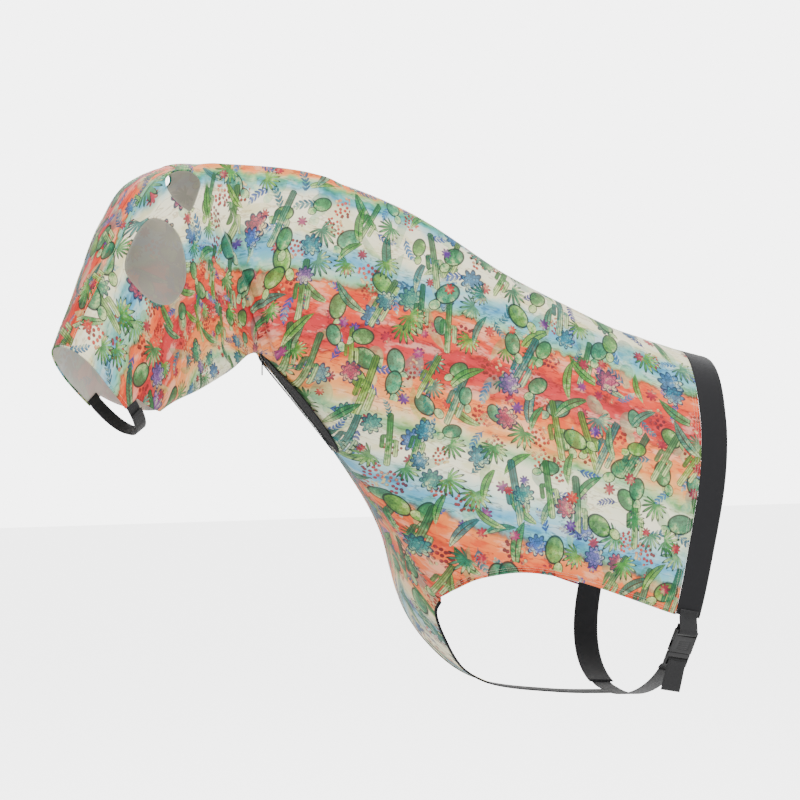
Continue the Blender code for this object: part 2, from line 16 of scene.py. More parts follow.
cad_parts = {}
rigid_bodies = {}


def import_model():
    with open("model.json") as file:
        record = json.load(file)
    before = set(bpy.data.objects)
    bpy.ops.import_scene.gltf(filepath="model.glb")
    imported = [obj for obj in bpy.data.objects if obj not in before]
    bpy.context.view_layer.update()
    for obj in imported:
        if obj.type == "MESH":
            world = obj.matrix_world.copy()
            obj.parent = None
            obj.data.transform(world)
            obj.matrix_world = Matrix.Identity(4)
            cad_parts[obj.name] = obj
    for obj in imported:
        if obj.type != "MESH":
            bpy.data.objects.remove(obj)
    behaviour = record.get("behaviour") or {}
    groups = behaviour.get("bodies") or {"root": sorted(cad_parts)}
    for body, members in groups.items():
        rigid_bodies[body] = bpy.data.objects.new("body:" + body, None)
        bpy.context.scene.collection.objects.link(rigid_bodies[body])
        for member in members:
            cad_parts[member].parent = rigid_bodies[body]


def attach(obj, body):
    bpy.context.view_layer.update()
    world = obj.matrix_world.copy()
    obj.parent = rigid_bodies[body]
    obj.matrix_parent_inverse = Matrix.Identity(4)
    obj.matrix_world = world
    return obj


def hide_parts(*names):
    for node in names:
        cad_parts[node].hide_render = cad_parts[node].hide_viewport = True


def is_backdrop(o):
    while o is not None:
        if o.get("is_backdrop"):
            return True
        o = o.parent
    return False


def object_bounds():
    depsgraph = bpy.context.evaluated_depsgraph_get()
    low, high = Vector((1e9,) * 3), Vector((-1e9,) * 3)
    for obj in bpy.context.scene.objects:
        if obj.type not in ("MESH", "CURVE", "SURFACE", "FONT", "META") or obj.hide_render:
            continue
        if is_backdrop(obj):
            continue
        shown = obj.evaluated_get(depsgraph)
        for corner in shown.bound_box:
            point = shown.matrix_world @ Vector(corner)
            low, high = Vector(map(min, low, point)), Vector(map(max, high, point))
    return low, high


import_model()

LOG = logging.getLogger("hood")

# ---------------------------------------------------------------- the worn form (metres)
# Each row: top x, top z, bottom x, bottom z, mean half-width, fullness, squareness.
STATIONS = np.array((
    (-1.278, 0.026, -1.142, -0.134, 0.062, 0.004, 0.004),   # 0 nose opening
    (-1.242, 0.106, -1.062, -0.086, 0.068, 0.006, 0.004),
    (-1.204, 0.181, -0.990, -0.056, 0.082, 0.014, 0.002),   # 2 cheek
    (-1.164, 0.251, -0.925, -0.024, 0.092, 0.022, 0.002),
    (-1.114, 0.316, -0.884, 0.008, 0.090, 0.020, 0.004),    # 4 forehead, angle of the jaw
    (-1.034, 0.348, -0.862, 0.008, 0.084, 0.004, 0.006),    # 5 poll, throat
    (-0.945, 0.346, -0.845, -0.016, 0.080, -0.010, 0.004),
    (-0.775, 0.334, -0.785, -0.090, 0.080, -0.014, 0.004),  # 7 upper neck
    (-0.582, 0.268, -0.696, -0.205, 0.090, -0.018, 0.006),
    (-0.385, 0.150, -0.620, -0.335, 0.125, -0.028, 0.010),  # 9 base of the neck
    (-0.200, 0.062, -0.582, -0.458, 0.185, -0.045, 0.010),
    (-0.115, 0.030, -0.525, -0.545, 0.225, -0.048, 0.012),  # 11 point of the shoulder
    (-0.058, 0.012, -0.435, -0.610, 0.240, -0.040, 0.016),
    (-0.020, 0.002, -0.290, -0.636, 0.246, -0.030, 0.020),  # 13 behind the shoulder
    (0.018, -0.008, -0.145, -0.645, 0.250, -0.022, 0.020),  # 14 girth
))
LAST_STATION = 14
HEAD_TURN = math.radians(24.0)  # the head looks this far to the near side
TURN_X = -0.868                 # where the turn starts, at the throat
TURN_LENGTH = 0.20              # over what length it turns

FACE_SEAM = ((0.05, 0.102), (1.1, 0.104), (2.2, 0.108), (3.5, 0.094), (4.4, 0.080), (4.86, 0.074))
NOSE_EDGE = ((0.05, 0.102), (0.05, 0.25), (0.05, 0.42), (0.08, 0.54), (0.10, 0.625))
CHIN_EDGE = ((0.42, 0.635), (0.56, 0.74), (0.78, 0.87), (1.00, 0.9985))
ZIP_EDGE = ((4.66, 0.952), (6.20, 0.955), (7.74, 0.960))
GUSSET_SEAM = ((7.78, 0.964), (8.6, 0.930), (9.4, 0.891), (10.04, 0.853))
LEG_ARCH = ((10.02, 0.850), (10.06, 0.800), (10.20, 0.738), (10.55, 0.680), (11.0, 0.643),
            (11.6, 0.618), (12.2, 0.612), (13.0, 0.629), (13.63, 0.648))
GIRTH_EDGE = ((13.63, 0.648), (13.54, 0.53), (13.43, 0.41), (13.22, 0.32), (12.92, 0.24),
              (12.62, 0.15), (12.50, 0.08), (12.45, 0.0))
BELLY_EDGE = ((13.72, 1.0), (13.70, 0.80), (13.63, 0.648))
GUSSET_LEG = ((10.10, 0.856), (10.20, 0.884), (10.42, 0.900), (10.80, 0.918), (11.15, 0.940),
              (11.55, 0.962), (12.02, 0.968))
EYE = ((3.30, 0.170), (3.48, 0.300), (2.95, 0.420), (2.25, 0.435), (1.90, 0.340), (2.00, 0.195),
       (2.62, 0.152))
EAR = ((4.72, 0.094), (5.08, 0.126), (5.14, 0.200), (4.62, 0.268), (4.12, 0.285), (4.02, 0.200),
       (4.32, 0.114))

GAP = 0.0011
BAND_WIDTH = 0.050
STRAP_WIDTH = 0.038
STRAP = 0.0016
ELASTIC = 0.0022
DIVIDER_WIDTH = 0.042
CHIN_WIDTH = 0.025


class Side(Enum):
    """Near (left, -Y) or off (right, +Y) side of the horse."""

    LEFT = -1
    RIGHT = 1


def cubic(a: np.ndarray, b: np.ndarray, c: np.ndarray, d: np.ndarray, f: np.ndarray) -> np.ndarray:
    """The smooth curve from b (f = 0) to c (f = 1), between neighbours a and d."""
    return 0.5 * (2 * b + (c - a) * f + (2 * a - 5 * b + 4 * c - d) * f ** 2
                  + (3 * b - a - 3 * c + d) * f ** 3)


def catmull(rows: np.ndarray, s: np.ndarray) -> np.ndarray:
    """Smooth values between rows.

    Args:
        rows: One row of values for each whole number.
        s: Where to read, an array of any shape.

    Returns:
        The values, with one more axis than s.
    """
    last = len(rows) - 1
    s = np.clip(s, 0.0, last)
    i = np.minimum(s.astype(int), last - 1)
    f = (s - i)[..., None]
    b, c = rows[i], rows[i + 1]
    a = np.where((i > 0)[..., None], rows[np.maximum(i - 1, 0)], 2 * b - c)
    d = np.where((i < last - 1)[..., None], rows[np.minimum(i + 2, last)], 2 * c - b)
    return cubic(a, b, c, d, f)


@dataclass(frozen=True)
class WornForm:
    """The shape that the hood takes on the horse, as a surface of s (nose to girth) and w (round it)."""

    turn: float = HEAD_TURN
    turn_x: float = TURN_X
    turn_length: float = TURN_LENGTH

    def point(self, s: np.ndarray, w: np.ndarray) -> np.ndarray:
        """Points of the form.

        Args:
            s: Stations, from 0 at the nose to 14 at the girth.
            w: Places round the horse, from 0 on top to 1 below; negative on the near side.

        Returns:
            An array of x, y, z.
        """
        s, w = np.broadcast_arrays(np.asarray(s, float), np.asarray(w, float))
        row = catmull(STATIONS, s)
        angle = math.pi * w
        down = (1 - np.cos(angle)) / 2
        y = row[..., 4] * np.sin(angle) + row[..., 5] * np.sin(2 * angle) + row[..., 6] * np.sin(3 * angle)
        x = row[..., 0] + (row[..., 2] - row[..., 0]) * down
        z = row[..., 1] + (row[..., 3] - row[..., 1]) * down
        if not self.turn:
            return np.stack([x, y, z], -1)
        ahead = np.maximum(self.turn_x - x, 0.0)
        rate = self.turn / self.turn_length
        bend = np.minimum(ahead, self.turn_length) * rate
        past = np.maximum(ahead - self.turn_length, 0.0)
        bent_x = self.turn_x - np.sin(bend) / rate - past * np.cos(bend) - y * np.sin(bend)
        bent_y = -(1 - np.cos(bend)) / rate - past * np.sin(bend) + y * np.cos(bend)
        return np.stack([np.where(ahead > 0, bent_x, x), np.where(ahead > 0, bent_y, y), z], -1)

    def slopes(self, s: np.ndarray, w: np.ndarray) -> tuple[np.ndarray, np.ndarray]:
        """How the form moves with s and with w, per unit of each."""
        h = 0.002
        low, high = np.clip(s - h, 0, LAST_STATION), np.clip(s + h, 0, LAST_STATION)
        along = (self.point(high, w) - self.point(low, w)) / (high - low)[..., None]
        return along, (self.point(s, w + h) - self.point(s, w - h)) / (2 * h)

    def normal(self, s: np.ndarray, w: np.ndarray) -> np.ndarray:
        """The form's outward unit normals."""
        s, w = np.broadcast_arrays(np.asarray(s, float), np.asarray(w, float))
        along, round_ = self.slopes(s, w)
        n = np.cross(along, round_)
        return n / np.linalg.norm(n, axis=-1, keepdims=True)


FORM = WornForm()


class PrintMap:
    """Where each spot of the form falls on the printed cloth: u along the bands, v across, in metres."""

    rows = 280       # spans of the table from the nose to the girth
    cols = 120       # spans of the table from the crest to the underside
    off_side = 0.37  # how far along the cloth the off side was cut

    def __init__(self) -> None:
        """Measure the form once, and fit the print's start and run along every station."""
        self.s_grid = np.linspace(0, LAST_STATION, self.rows + 1)
        middle = FORM.point(self.s_grid, np.full_like(self.s_grid, 0.44))
        self.along = np.concatenate([[0], np.cumsum(np.linalg.norm(np.diff(middle, axis=0), axis=1))])
        p = FORM.point(self.s_grid[:, None], np.linspace(0, 1, self.cols + 1)[None, :])
        steps = np.linalg.norm(np.diff(p, axis=1), axis=2)
        self.round = np.concatenate([np.zeros((len(self.s_grid), 1)), np.cumsum(steps, axis=1)], axis=1)
        straight = WornForm(turn=0.0)
        spots = [self.flat(straight.point(self.s_grid, np.full_like(self.s_grid, w))) for w in (0.25, 0.65)]
        near, far = (self.round[:, int(w * self.cols)] for w in (0.25, 0.65))
        neck_run = (spots[1] - spots[0]) / (far - near)[:, None]
        neck_start = spots[0] - neck_run * near[:, None]
        fade = self.ease(self.s_grid, 2.0, 4.0)
        head_start = np.stack([self.along, 0.045 - 0.085 * fade], 1)
        k = int(3.2 / LAST_STATION * self.rows)
        head_start[:, 0] += neck_start[k, 0] + neck_run[k, 0] * 0.09 - head_start[k, 0]
        t = np.stack([self.ease(self.s_grid, 1.0, 5.4), self.ease(self.s_grid, 3.0, 4.6)], 1)
        self.start = head_start * (1 - t) + neck_start * t
        self.run = np.array((0.0, 1.0)) * (1 - t) + neck_run * t

    @staticmethod
    def ease(s: np.ndarray, low: float, high: float) -> np.ndarray:
        """A smooth step from 0 at low to 1 at high."""
        t = np.clip((s - low) / (high - low), 0, 1)
        return t * t * (3 - 2 * t)

    @staticmethod
    def flat(p: np.ndarray) -> np.ndarray:
        """The cloth's u and v for points of the neck and shoulder seen from the side."""
        turn = math.radians(17.0)
        back = p[..., 0] + 0.806
        slope = 0.5 * (back + np.sqrt(back * back + 0.004))
        drop = 0.16 - 0.318 * slope - p[..., 2]
        return np.stack([back / math.cos(turn) + drop * math.sin(turn), 0.19 + drop * math.cos(turn)], -1)

    def uv(self, s: np.ndarray, w: np.ndarray) -> np.ndarray:
        """The place on the cloth of spots of the form.

        Args:
            s: Stations.
            w: Places round the horse.

        Returns:
            u and v in metres on the last axis.
        """
        s, w = np.broadcast_arrays(np.asarray(s, float), np.asarray(w, float))
        across = np.minimum(np.abs(w), 2 - np.abs(w))
        i = np.clip(s / LAST_STATION * self.rows, 0, self.rows - 0.001)
        j = np.clip(across * self.cols, 0, self.cols - 0.001)
        i0, j0 = i.astype(int), j.astype(int)
        fi, fj = i - i0, j - j0
        r = self.round
        length = ((r[i0, j0] * (1 - fi) + r[i0 + 1, j0] * fi) * (1 - fj)
                  + (r[i0, j0 + 1] * (1 - fi) + r[i0 + 1, j0 + 1] * fi) * fj)
        start = self.start[i0] * (1 - fi)[..., None] + self.start[i0 + 1] * fi[..., None]
        run = self.run[i0] * (1 - fi)[..., None] + self.run[i0 + 1] * fi[..., None]
        uv = start + run * length[..., None]
        uv[..., 0] += np.where(w < 0, 0.0, self.off_side)
        return uv


PRINT = PrintMap()


# ---------------------------------------------------------------- curves on the form
def smooth(points: tuple, step: float, closed: bool = False) -> list[tuple[float, float]]:
    """A smooth curve through outline points.

    Args:
        points: The (s, w) points.
        step: About how far apart the curve's points are on the form, in metres.
        closed: Whether the last point joins the first.

    Returns:
        The curve's (s, w) points.
    """
    pts = [np.array(p, float) for p in points]
    n = len(pts)
    out = []
    for i in range(n if closed else n - 1):
        b, c = pts[i], pts[(i + 1) % n]
        a = pts[i - 1] if closed or i > 0 else 2 * b - c
        d = pts[(i + 2) % n] if closed or i + 2 < n else 2 * c - b
        length = np.linalg.norm(FORM.point(*b) - FORM.point(*c))
        cuts = max(1, round(float(length) / step))
        for k in range(cuts):
            out.append(tuple(map(float, cubic(a, b, c, d, k / cuts))))
    if not closed:
        out.append((float(pts[-1][0]), float(pts[-1][1])))
    return out


def on_side(path: list, side: Side) -> list[tuple[float, float]]:
    """A path moved to the near or off side."""
    return [(s, w * side.value) for s, w in path]


def girth_edge_at(w: float) -> float:
    """The s of the panels' rear edge at w; w past 1 is the other side."""
    w = min(abs(w), 2 - abs(w))
    path = smooth(BELLY_EDGE + GIRTH_EDGE[1:], 0.02)
    for a, b in zip(path, path[1:]):
        if a[1] >= w >= b[1]:
            return a[0] + (b[0] - a[0]) * (a[1] - w) / (a[1] - b[1])
    return path[-1][0]


def girth_path(start: float, end: float, count: int) -> list[tuple[float, float]]:
    """Points along the rear edge from w = start to w = end."""
    spots = [start + (end - start) * k / count for k in range(count + 1)]
    return [(girth_edge_at(w), w) for w in spots]


def inside(points: np.ndarray, loop: np.ndarray) -> np.ndarray:
    """Which points of the (s, w) plane lie inside a closed loop."""
    hit = np.zeros(len(points), bool)
    for a, b in zip(loop, np.roll(loop, -1, axis=0)):
        crosses = (a[1] > points[:, 1]) != (b[1] > points[:, 1])
        if crosses.any():
            at = (b[0] - a[0]) * (points[:, 1] - a[1]) / (b[1] - a[1]) + a[0]
            hit ^= crosses & (points[:, 0] < at)
    return hit


# ---------------------------------------------------------------- mesh helpers
def new_piece(name: str, mesh: bpy.types.Mesh, materials: list) -> bpy.types.Object:
    """Link a mesh as a piece at the origin, with its materials."""
    for mat in materials:
        mesh.materials.append(mat)
    ob = bpy.data.objects.new(name, mesh)
    bpy.context.scene.collection.objects.link(ob)
    return ob


def applied(ob: bpy.types.Object) -> bpy.types.Object:
    """Turn an object's modifiers into its mesh."""
    bpy.context.view_layer.update()
    graph = bpy.context.evaluated_depsgraph_get()
    mesh = bpy.data.meshes.new_from_object(ob.evaluated_get(graph))
    old = ob.data
    ob.modifiers.clear()
    ob.data = mesh
    mesh.name = ob.name
    if isinstance(old, bpy.types.Mesh):
        bpy.data.meshes.remove(old)
    return ob


def settle(ob: bpy.types.Object, body: str, slot: str, *nodes: str) -> bpy.types.Object:
    """Attach a finished piece to its body and hide the CAD nodes that it stands for."""
    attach(ob, body)
    if nodes:
        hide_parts(*nodes)
    LOG.info("%s: %d faces on %s", ob.name, len(ob.data.polygons), body)
    return ob


def flow(path: list, closed: bool = False) -> tuple[np.ndarray, np.ndarray, np.ndarray]:
    """Centre points, side directions and normals along a path on the form."""
    pts = np.array(path)
    here = FORM.point(pts[:, 0], pts[:, 1])
    up = FORM.normal(pts[:, 0], pts[:, 1])
    if closed:
        tangent = np.roll(here, -1, axis=0) - np.roll(here, 1, axis=0)
    else:
        tangent = np.gradient(here, axis=0)
    tangent /= np.linalg.norm(tangent, axis=1, keepdims=True)
    side = np.cross(tangent, up)
    side /= np.linalg.norm(side, axis=1, keepdims=True)
    return here, side, up


def tube(name: str, here: np.ndarray, side: np.ndarray, up: np.ndarray, profile: list,
         materials: list, closed: bool = False, uvs: np.ndarray | None = None,
         slots: list | None = None) -> bpy.types.Object:
    """Sweep a closed profile along a path, with caps at open ends.

    Args:
        name: The piece's name.
        here: The path's points.
        side: The profile's first axis at each point.
        up: The profile's second axis at each point.
        profile: The (a, b) points of the section, in metres, in order round it.
        materials: The piece's materials.
        closed: Whether the path joins its start.
        uvs: The (path, profile, 2) UVs, or None for metres along and round.
        slots: The material index of each profile segment.

    Returns:
        The piece.
    """
    rows, cols = len(here), len(profile)
    section = np.array(profile, float)
    grid = (here[:, None] + side[:, None] * section[None, :, :1] + up[:, None] * section[None, :, 1:])
    if uvs is None:
        run = np.concatenate([[0], np.cumsum(np.linalg.norm(np.diff(here, axis=0), axis=1))])
        uvs = np.stack(np.broadcast_arrays(run[:, None], section[None, :, 0]), -1)
    bm = bmesh.new()
    layer = bm.loops.layers.uv.new("UVMap")
    verts = [[bm.verts.new(grid[i, j]) for j in range(cols)] for i in range(rows)]
    for i in range(rows if closed else rows - 1):
        k = (i + 1) % rows
        for j in range(cols):
            m = (j + 1) % cols
            face = bm.faces.new((verts[i][j], verts[i][m], verts[k][m], verts[k][j]))
            face.smooth = True
            if slots:
                face.material_index = slots[j]
            spots = ((i, j), (i, m), (k, m), (k, j))
            for loop, (a, b) in zip(face.loops, spots):
                loop[layer].uv = uvs[a, b]
    if not closed:
        for i in (0, rows - 1):
            face = bm.faces.new(verts[i])
            for loop, j in zip(face.loops, range(cols)):
                loop[layer].uv = uvs[i, j]
    bmesh.ops.recalc_face_normals(bm, faces=bm.faces)
    mesh = bpy.data.meshes.new(name)
    bm.to_mesh(mesh)
    bm.free()
    return new_piece(name, mesh, materials)


def flat_section(start: float, width: float, thickness: float, lift: float = 0.0,
                 steps: int = 4, round_: float = 0.45) -> list[tuple[float, float]]:
    """The section of a flat strap with soft edges.

    Args:
        start: Where its first edge is, beside the path.
        width: Its width.
        thickness: Its thickness.
        lift: The height of its middle over the path.
        steps: How many spans across each face.
        round_: How far the edge is rounded, as a share of the thickness.

    Returns:
        The section's points.
    """
    h = thickness / 2
    r = thickness * round_
    top = [(start + r + (width - 2 * r) * k / steps, lift + h) for k in range(steps + 1)]
    end = [(start + width, lift)]
    bottom = [(a, lift - h) for a, _ in reversed(top)]
    return top + end + bottom + [(start, lift)]


# ---------------------------------------------------------------- node tools
class Graph:
    """Short calls that add nodes to a tree and wire them."""

    def __init__(self, tree: bpy.types.NodeTree) -> None:
        """Start on a node tree."""
        self.tree = tree
        self.columns = 0

    def node(self, kind: str, **settings: object) -> bpy.types.Node:
        """Add a node and set its properties."""
        node = self.tree.nodes.new(kind)
        self.columns += 1
        node.location = (180 * (self.columns % 12), -160 * (self.columns // 12))
        for key, value in settings.items():
            setattr(node, key, value)
        return node

    def feed(self, socket: bpy.types.NodeSocket, value: object) -> None:
        """Link a socket to another, or set its value."""
        if isinstance(value, bpy.types.NodeSocket):
            self.tree.links.new(value, socket)
        elif value is not None:
            socket.default_value = value

    def math(self, operation: str, a: object, b: object = None, c: object = None) -> bpy.types.NodeSocket:
        """A Math node."""
        node = self.node("ShaderNodeMath", operation=operation)
        for socket, value in zip(node.inputs, (a, b, c)):
            self.feed(socket, value)
        return node.outputs[0]

    def mul(self, a: object, b: object) -> bpy.types.NodeSocket:
        """a times b."""
        return self.math("MULTIPLY", a, b)

    def add(self, a: object, b: object) -> bpy.types.NodeSocket:
        """a plus b."""
        return self.math("ADD", a, b)

    def sub(self, a: object, b: object) -> bpy.types.NodeSocket:
        """a less b."""
        return self.math("SUBTRACT", a, b)

    def div(self, a: object, b: object) -> bpy.types.NodeSocket:
        """a over b."""
        return self.math("DIVIDE", a, b)

    def abs(self, a: object) -> bpy.types.NodeSocket:
        """The size of a."""
        return self.math("ABSOLUTE", a)

    def mad(self, a: object, b: object, c: object) -> bpy.types.NodeSocket:
        """a times b, plus c."""
        return self.math("MULTIPLY_ADD", a, b, c)

    def vector(self, operation: str, a: object, b: object = None,
               scale: object = None) -> bpy.types.NodeSocket:
        """A Vector Math node."""
        node = self.node("ShaderNodeVectorMath", operation=operation)
        self.feed(node.inputs[0], a)
        self.feed(node.inputs[1], b)
        if scale is not None:
            self.feed(node.inputs["Scale"], scale)
        return node.outputs["Value" if operation in ("LENGTH", "DOT_PRODUCT") else "Vector"]

    def split(self, vector: bpy.types.NodeSocket) -> tuple:
        """The x, y and z of a vector."""
        node = self.node("ShaderNodeSeparateXYZ")
        self.feed(node.inputs[0], vector)
        return node.outputs[0], node.outputs[1], node.outputs[2]

    def join(self, x: object, y: object, z: object = 0.0) -> bpy.types.NodeSocket:
        """A vector of three values."""
        node = self.node("ShaderNodeCombineXYZ")
        for socket, value in zip(node.inputs, (x, y, z)):
            self.feed(socket, value)
        return node.outputs[0]

    def step(self, value: object, low: float, high: float) -> bpy.types.NodeSocket:
        """A smooth step from 0 at low to 1 at high; low may be the larger."""
        node = self.node("ShaderNodeMapRange", interpolation_type="SMOOTHSTEP")
        self.feed(node.inputs["Value"], value)
        node.inputs["From Min"].default_value = min(low, high)
        node.inputs["From Max"].default_value = max(low, high)
        node.inputs["To Min"].default_value = 0.0 if low < high else 1.0
        node.inputs["To Max"].default_value = 1.0 if low < high else 0.0
        return node.outputs["Result"]

    def mix(self, factor: object, a: object, b: object, blend: str = "MIX") -> bpy.types.NodeSocket:
        """Mix two colours."""
        node = self.node("ShaderNodeMix", data_type="RGBA", blend_type=blend)
        self.feed(node.inputs["Factor"], factor)
        self.feed(node.inputs[6], a)
        self.feed(node.inputs[7], b)
        return node.outputs[2]

    def ramp(self, factor: object, stops: tuple) -> bpy.types.NodeSocket:
        """A colour ramp through (place, colour) stops."""
        node = self.node("ShaderNodeValToRGB")
        ramp = node.color_ramp
        while len(ramp.elements) > 1:
            ramp.elements.remove(ramp.elements[-1])
        ramp.elements[0].position = stops[0][0]
        ramp.elements[0].color = (*stops[0][1], 1.0)
        for place, colour in stops[1:]:
            ramp.elements.new(place).color = (*colour, 1.0)
        self.feed(node.inputs[0], factor)
        return node.outputs[0]

    def noise(self, vector: object, scale: float, detail: float = 2.0, rough: float = 0.5,
              kind: str = "2D") -> bpy.types.NodeSocket:
        """A Noise texture's value."""
        node = self.node("ShaderNodeTexNoise", noise_dimensions=kind)
        self.feed(node.inputs["Vector"], vector)
        node.inputs["Scale"].default_value = scale
        node.inputs["Detail"].default_value = detail
        node.inputs["Roughness"].default_value = rough
        return node.outputs[0]

    def cells(self, vector: object, scale: float, randomness: float = 1.0) -> bpy.types.Node:
        """A Voronoi texture node, nearest cell, in the plane."""
        node = self.node("ShaderNodeTexVoronoi", voronoi_dimensions="2D")
        self.feed(node.inputs["Vector"], vector)
        node.inputs["Scale"].default_value = scale
        node.inputs["Randomness"].default_value = randomness
        return node

    def group(self, tree: bpy.types.NodeTree, **values: object) -> bpy.types.Node:
        """Place a group and feed its named inputs."""
        node = self.node("ShaderNodeGroup", node_tree=tree)
        for key, value in values.items():
            self.feed(node.inputs[key], value)
        return node


def new_group(name: str, inputs: dict, outputs: dict) -> tuple[Graph, dict, dict]:
    """Start a shader node group.

    Args:
        name: The group's name.
        inputs: Socket name to its default: a number, or None for a vector.
        outputs: Socket name to "Color", "Float" or "Vector".

    Returns:
        The graph, the input sockets by name and the output sockets by name.
    """
    tree = bpy.data.node_groups.new(name, "ShaderNodeTree")
    for key, value in inputs.items():
        kind = "NodeSocketVector" if value is None else "NodeSocketFloat"
        socket = tree.interface.new_socket(key, in_out="INPUT", socket_type=kind)
        if value is not None:
            socket.default_value = value
    for key, kind in outputs.items():
        tree.interface.new_socket(key, in_out="OUTPUT", socket_type="NodeSocket" + kind)
    graph = Graph(tree)
    start = graph.node("NodeGroupInput")
    end = graph.node("NodeGroupOutput")
    return (graph, {k: start.outputs[k] for k in inputs}, {k: end.inputs[k] for k in outputs})


def polar(g: Graph, local: object) -> tuple:
    """The radius and angle of a plane vector."""
    x, y, _ = g.split(local)
    return g.vector("LENGTH", local), g.math("ARCTAN2", y, x)


# ---------------------------------------------------------------- finishes
def paint(code: str) -> tuple[float, float, float]:
    """A colour from its six-digit hexadecimal code, as linear light."""
    parts = [int(code[k:k + 2], 16) / 255 for k in (0, 2, 4)]
    return tuple(c / 12.92 if c <= 0.04045 else ((c + 0.055) / 1.055) ** 2.4 for c in parts)


def dye(code: str) -> tuple[float, float, float, float]:
    """A print colour, deepened as dye is in knit, with full opacity."""
    return tuple(c ** 1.35 for c in paint(code)) + (1.0,)


class Motif(Enum):
    """The shapes that the cloth is printed with."""

    PADDLE = "paddle"
    COLUMN = "column"
    AGAVE = "agave"
    ROSETTE = "rosette"
    FLOWER = "flower"
    POD = "pod"
    SPRIG = "sprig"
    BERRY = "berry"


class MotifKit:
    """Shader groups that scatter and draw the printed motifs."""

    def __init__(self) -> None:
        """Build the scatter group and one group for each motif."""
        self.scatter = self.build_scatter()
        self.shapes = {
            Motif.PADDLE: self.build_paddle(), Motif.COLUMN: self.build_column(),
            Motif.AGAVE: self.build_agave(), Motif.ROSETTE: self.build_rosette(),
            Motif.FLOWER: self.build_flower(), Motif.POD: self.build_pod(),
            Motif.SPRIG: self.build_sprig(), Motif.BERRY: self.build_berry(),
        }

    @staticmethod
    def build_scatter() -> bpy.types.NodeTree:
        """One cell for each motif, turned and sized at random."""
        g, i, o = new_group("motif scatter", {"Vector": None, "Scale": 12.0, "Seed": 0.0, "Swing": 1.0,
                                              "Scatter": 0.5, "Narrow": 1.0},
                            {"Local": "Vector", "Pick": "Float", "Chance": "Float"})
        moved = g.vector("ADD", i["Vector"], g.join(i["Seed"], g.mul(i["Seed"], 1.7)))
        moved = g.vector("MULTIPLY", moved, g.join(i["Narrow"], 1.0, 1.0))
        cell = g.cells(moved, 1.0)
        g.feed(cell.inputs["Scale"], i["Scale"])
        g.feed(cell.inputs["Randomness"], i["Scatter"])
        red, green, blue = g.split(cell.outputs["Color"])
        turn = g.node("ShaderNodeVectorRotate", rotation_type="Z_AXIS")
        apart = g.vector("SUBTRACT", moved, cell.outputs["Position"])
        g.feed(turn.inputs["Vector"], g.vector("DIVIDE", apart, g.join(i["Narrow"], 1.0, 1.0)))
        g.feed(turn.inputs["Angle"], g.mul(g.sub(red, 0.5), i["Swing"]))
        size = g.div(1.0, g.mad(green, 0.42, 0.80))
        g.feed(o["Local"], g.vector("SCALE", turn.outputs[0], scale=size))
        g.feed(o["Pick"], blue)
        g.feed(o["Chance"], g.math("FRACT", g.mul(g.add(red, blue), 7.31)))
        return g.tree

    @staticmethod
    def begin(motif: Motif) -> tuple[Graph, object, dict]:
        """Start a motif's group."""
        g, i, o = new_group("motif " + motif.value, {"Local": None},
                            {"Mask": "Float", "Ink": "Float"})
        return g, i["Local"], o

    @staticmethod
    def oval(g: Graph, local: object, x: float, y: float, a: float, b: float) -> object:
        """The scaled radius from an oval's middle: 1 on its edge."""
        moved = g.vector("SUBTRACT", local, (x, y, 0))
        return g.vector("LENGTH", g.vector("MULTIPLY", moved, (1 / a, 1 / b, 0)))

    @staticmethod
    def bar(g: Graph, local: object, x: float, y: float, a: float, b: float, r: float) -> object:
        """The distance to a bar with round ends, less its radius, divided by it."""
        moved = g.vector("ABSOLUTE", g.vector("SUBTRACT", local, (x, y, 0)))
        out = g.vector("MAXIMUM", g.vector("SUBTRACT", moved, (a, b, 0)), (0, 0, 0))
        return g.div(g.vector("LENGTH", g.vector("MULTIPLY", out, (1, 1, 0))), r)

    def build_paddle(self) -> bpy.types.NodeTree:
        """A large pad with a small one on it, both dotted."""
        g, local, o = self.begin(Motif.PADDLE)
        e = g.math("MINIMUM", self.oval(g, local, 0, -0.006, 0.0150, 0.0215),
                   self.oval(g, local, 0.0075, 0.0215, 0.0080, 0.0105))
        spots = g.step(g.cells(local, 190, 0.3).outputs["Distance"], 0.20, 0.12)
        self.finish(g, o, e, g.mul(spots, 0.6))
        return g.tree

    def build_column(self) -> bpy.types.NodeTree:
        """A tall ribbed column with two arms."""
        g, local, o = self.begin(Motif.COLUMN)
        e = g.math("MINIMUM", self.bar(g, local, 0, 0, 0.0006, 0.046, 0.0056),
                   self.bar(g, local, 0.0130, 0.016, 0.0004, 0.0120, 0.0042))
        e = g.math("MINIMUM", e, self.bar(g, local, 0.0065, 0.002, 0.006, 0.0004, 0.0034))
        e = g.math("MINIMUM", e, self.bar(g, local, -0.0125, 0.004, 0.0004, 0.009, 0.0040))
        e = g.math("MINIMUM", e, self.bar(g, local, -0.006, -0.007, 0.006, 0.0004, 0.0032))
        x, _, _ = g.split(local)
        rib = g.math("SINE", g.mul(x, 1650))
        self.finish(g, o, e, g.mul(g.step(rib, 0.2, 0.9), 0.75))
        return g.tree

    def build_pod(self) -> bpy.types.NodeTree:
        """A long leaf with cross ribs and a bright midrib."""
        g, local, o = self.begin(Motif.POD)
        x, y, _ = g.split(local)
        bend = g.mul(g.mul(y, y), 6.0)
        x = g.sub(x, bend)
        taper = g.sub(1.0, g.math("POWER", g.abs(g.div(y, 0.036)), 2.4))
        taper = g.math("MAXIMUM", taper, 0.02)
        e = g.div(g.abs(x), g.mul(taper, 0.0078))
        slant = g.mad(g.abs(x), 900, g.mul(y, 1500))
        rib = g.math("SINE", slant)
        mid = g.step(e, 0.16, 0.06)
        self.finish(g, o, e, g.math("MAXIMUM", g.mul(g.step(rib, 0.4, 0.95), 0.5), mid))
        return g.tree

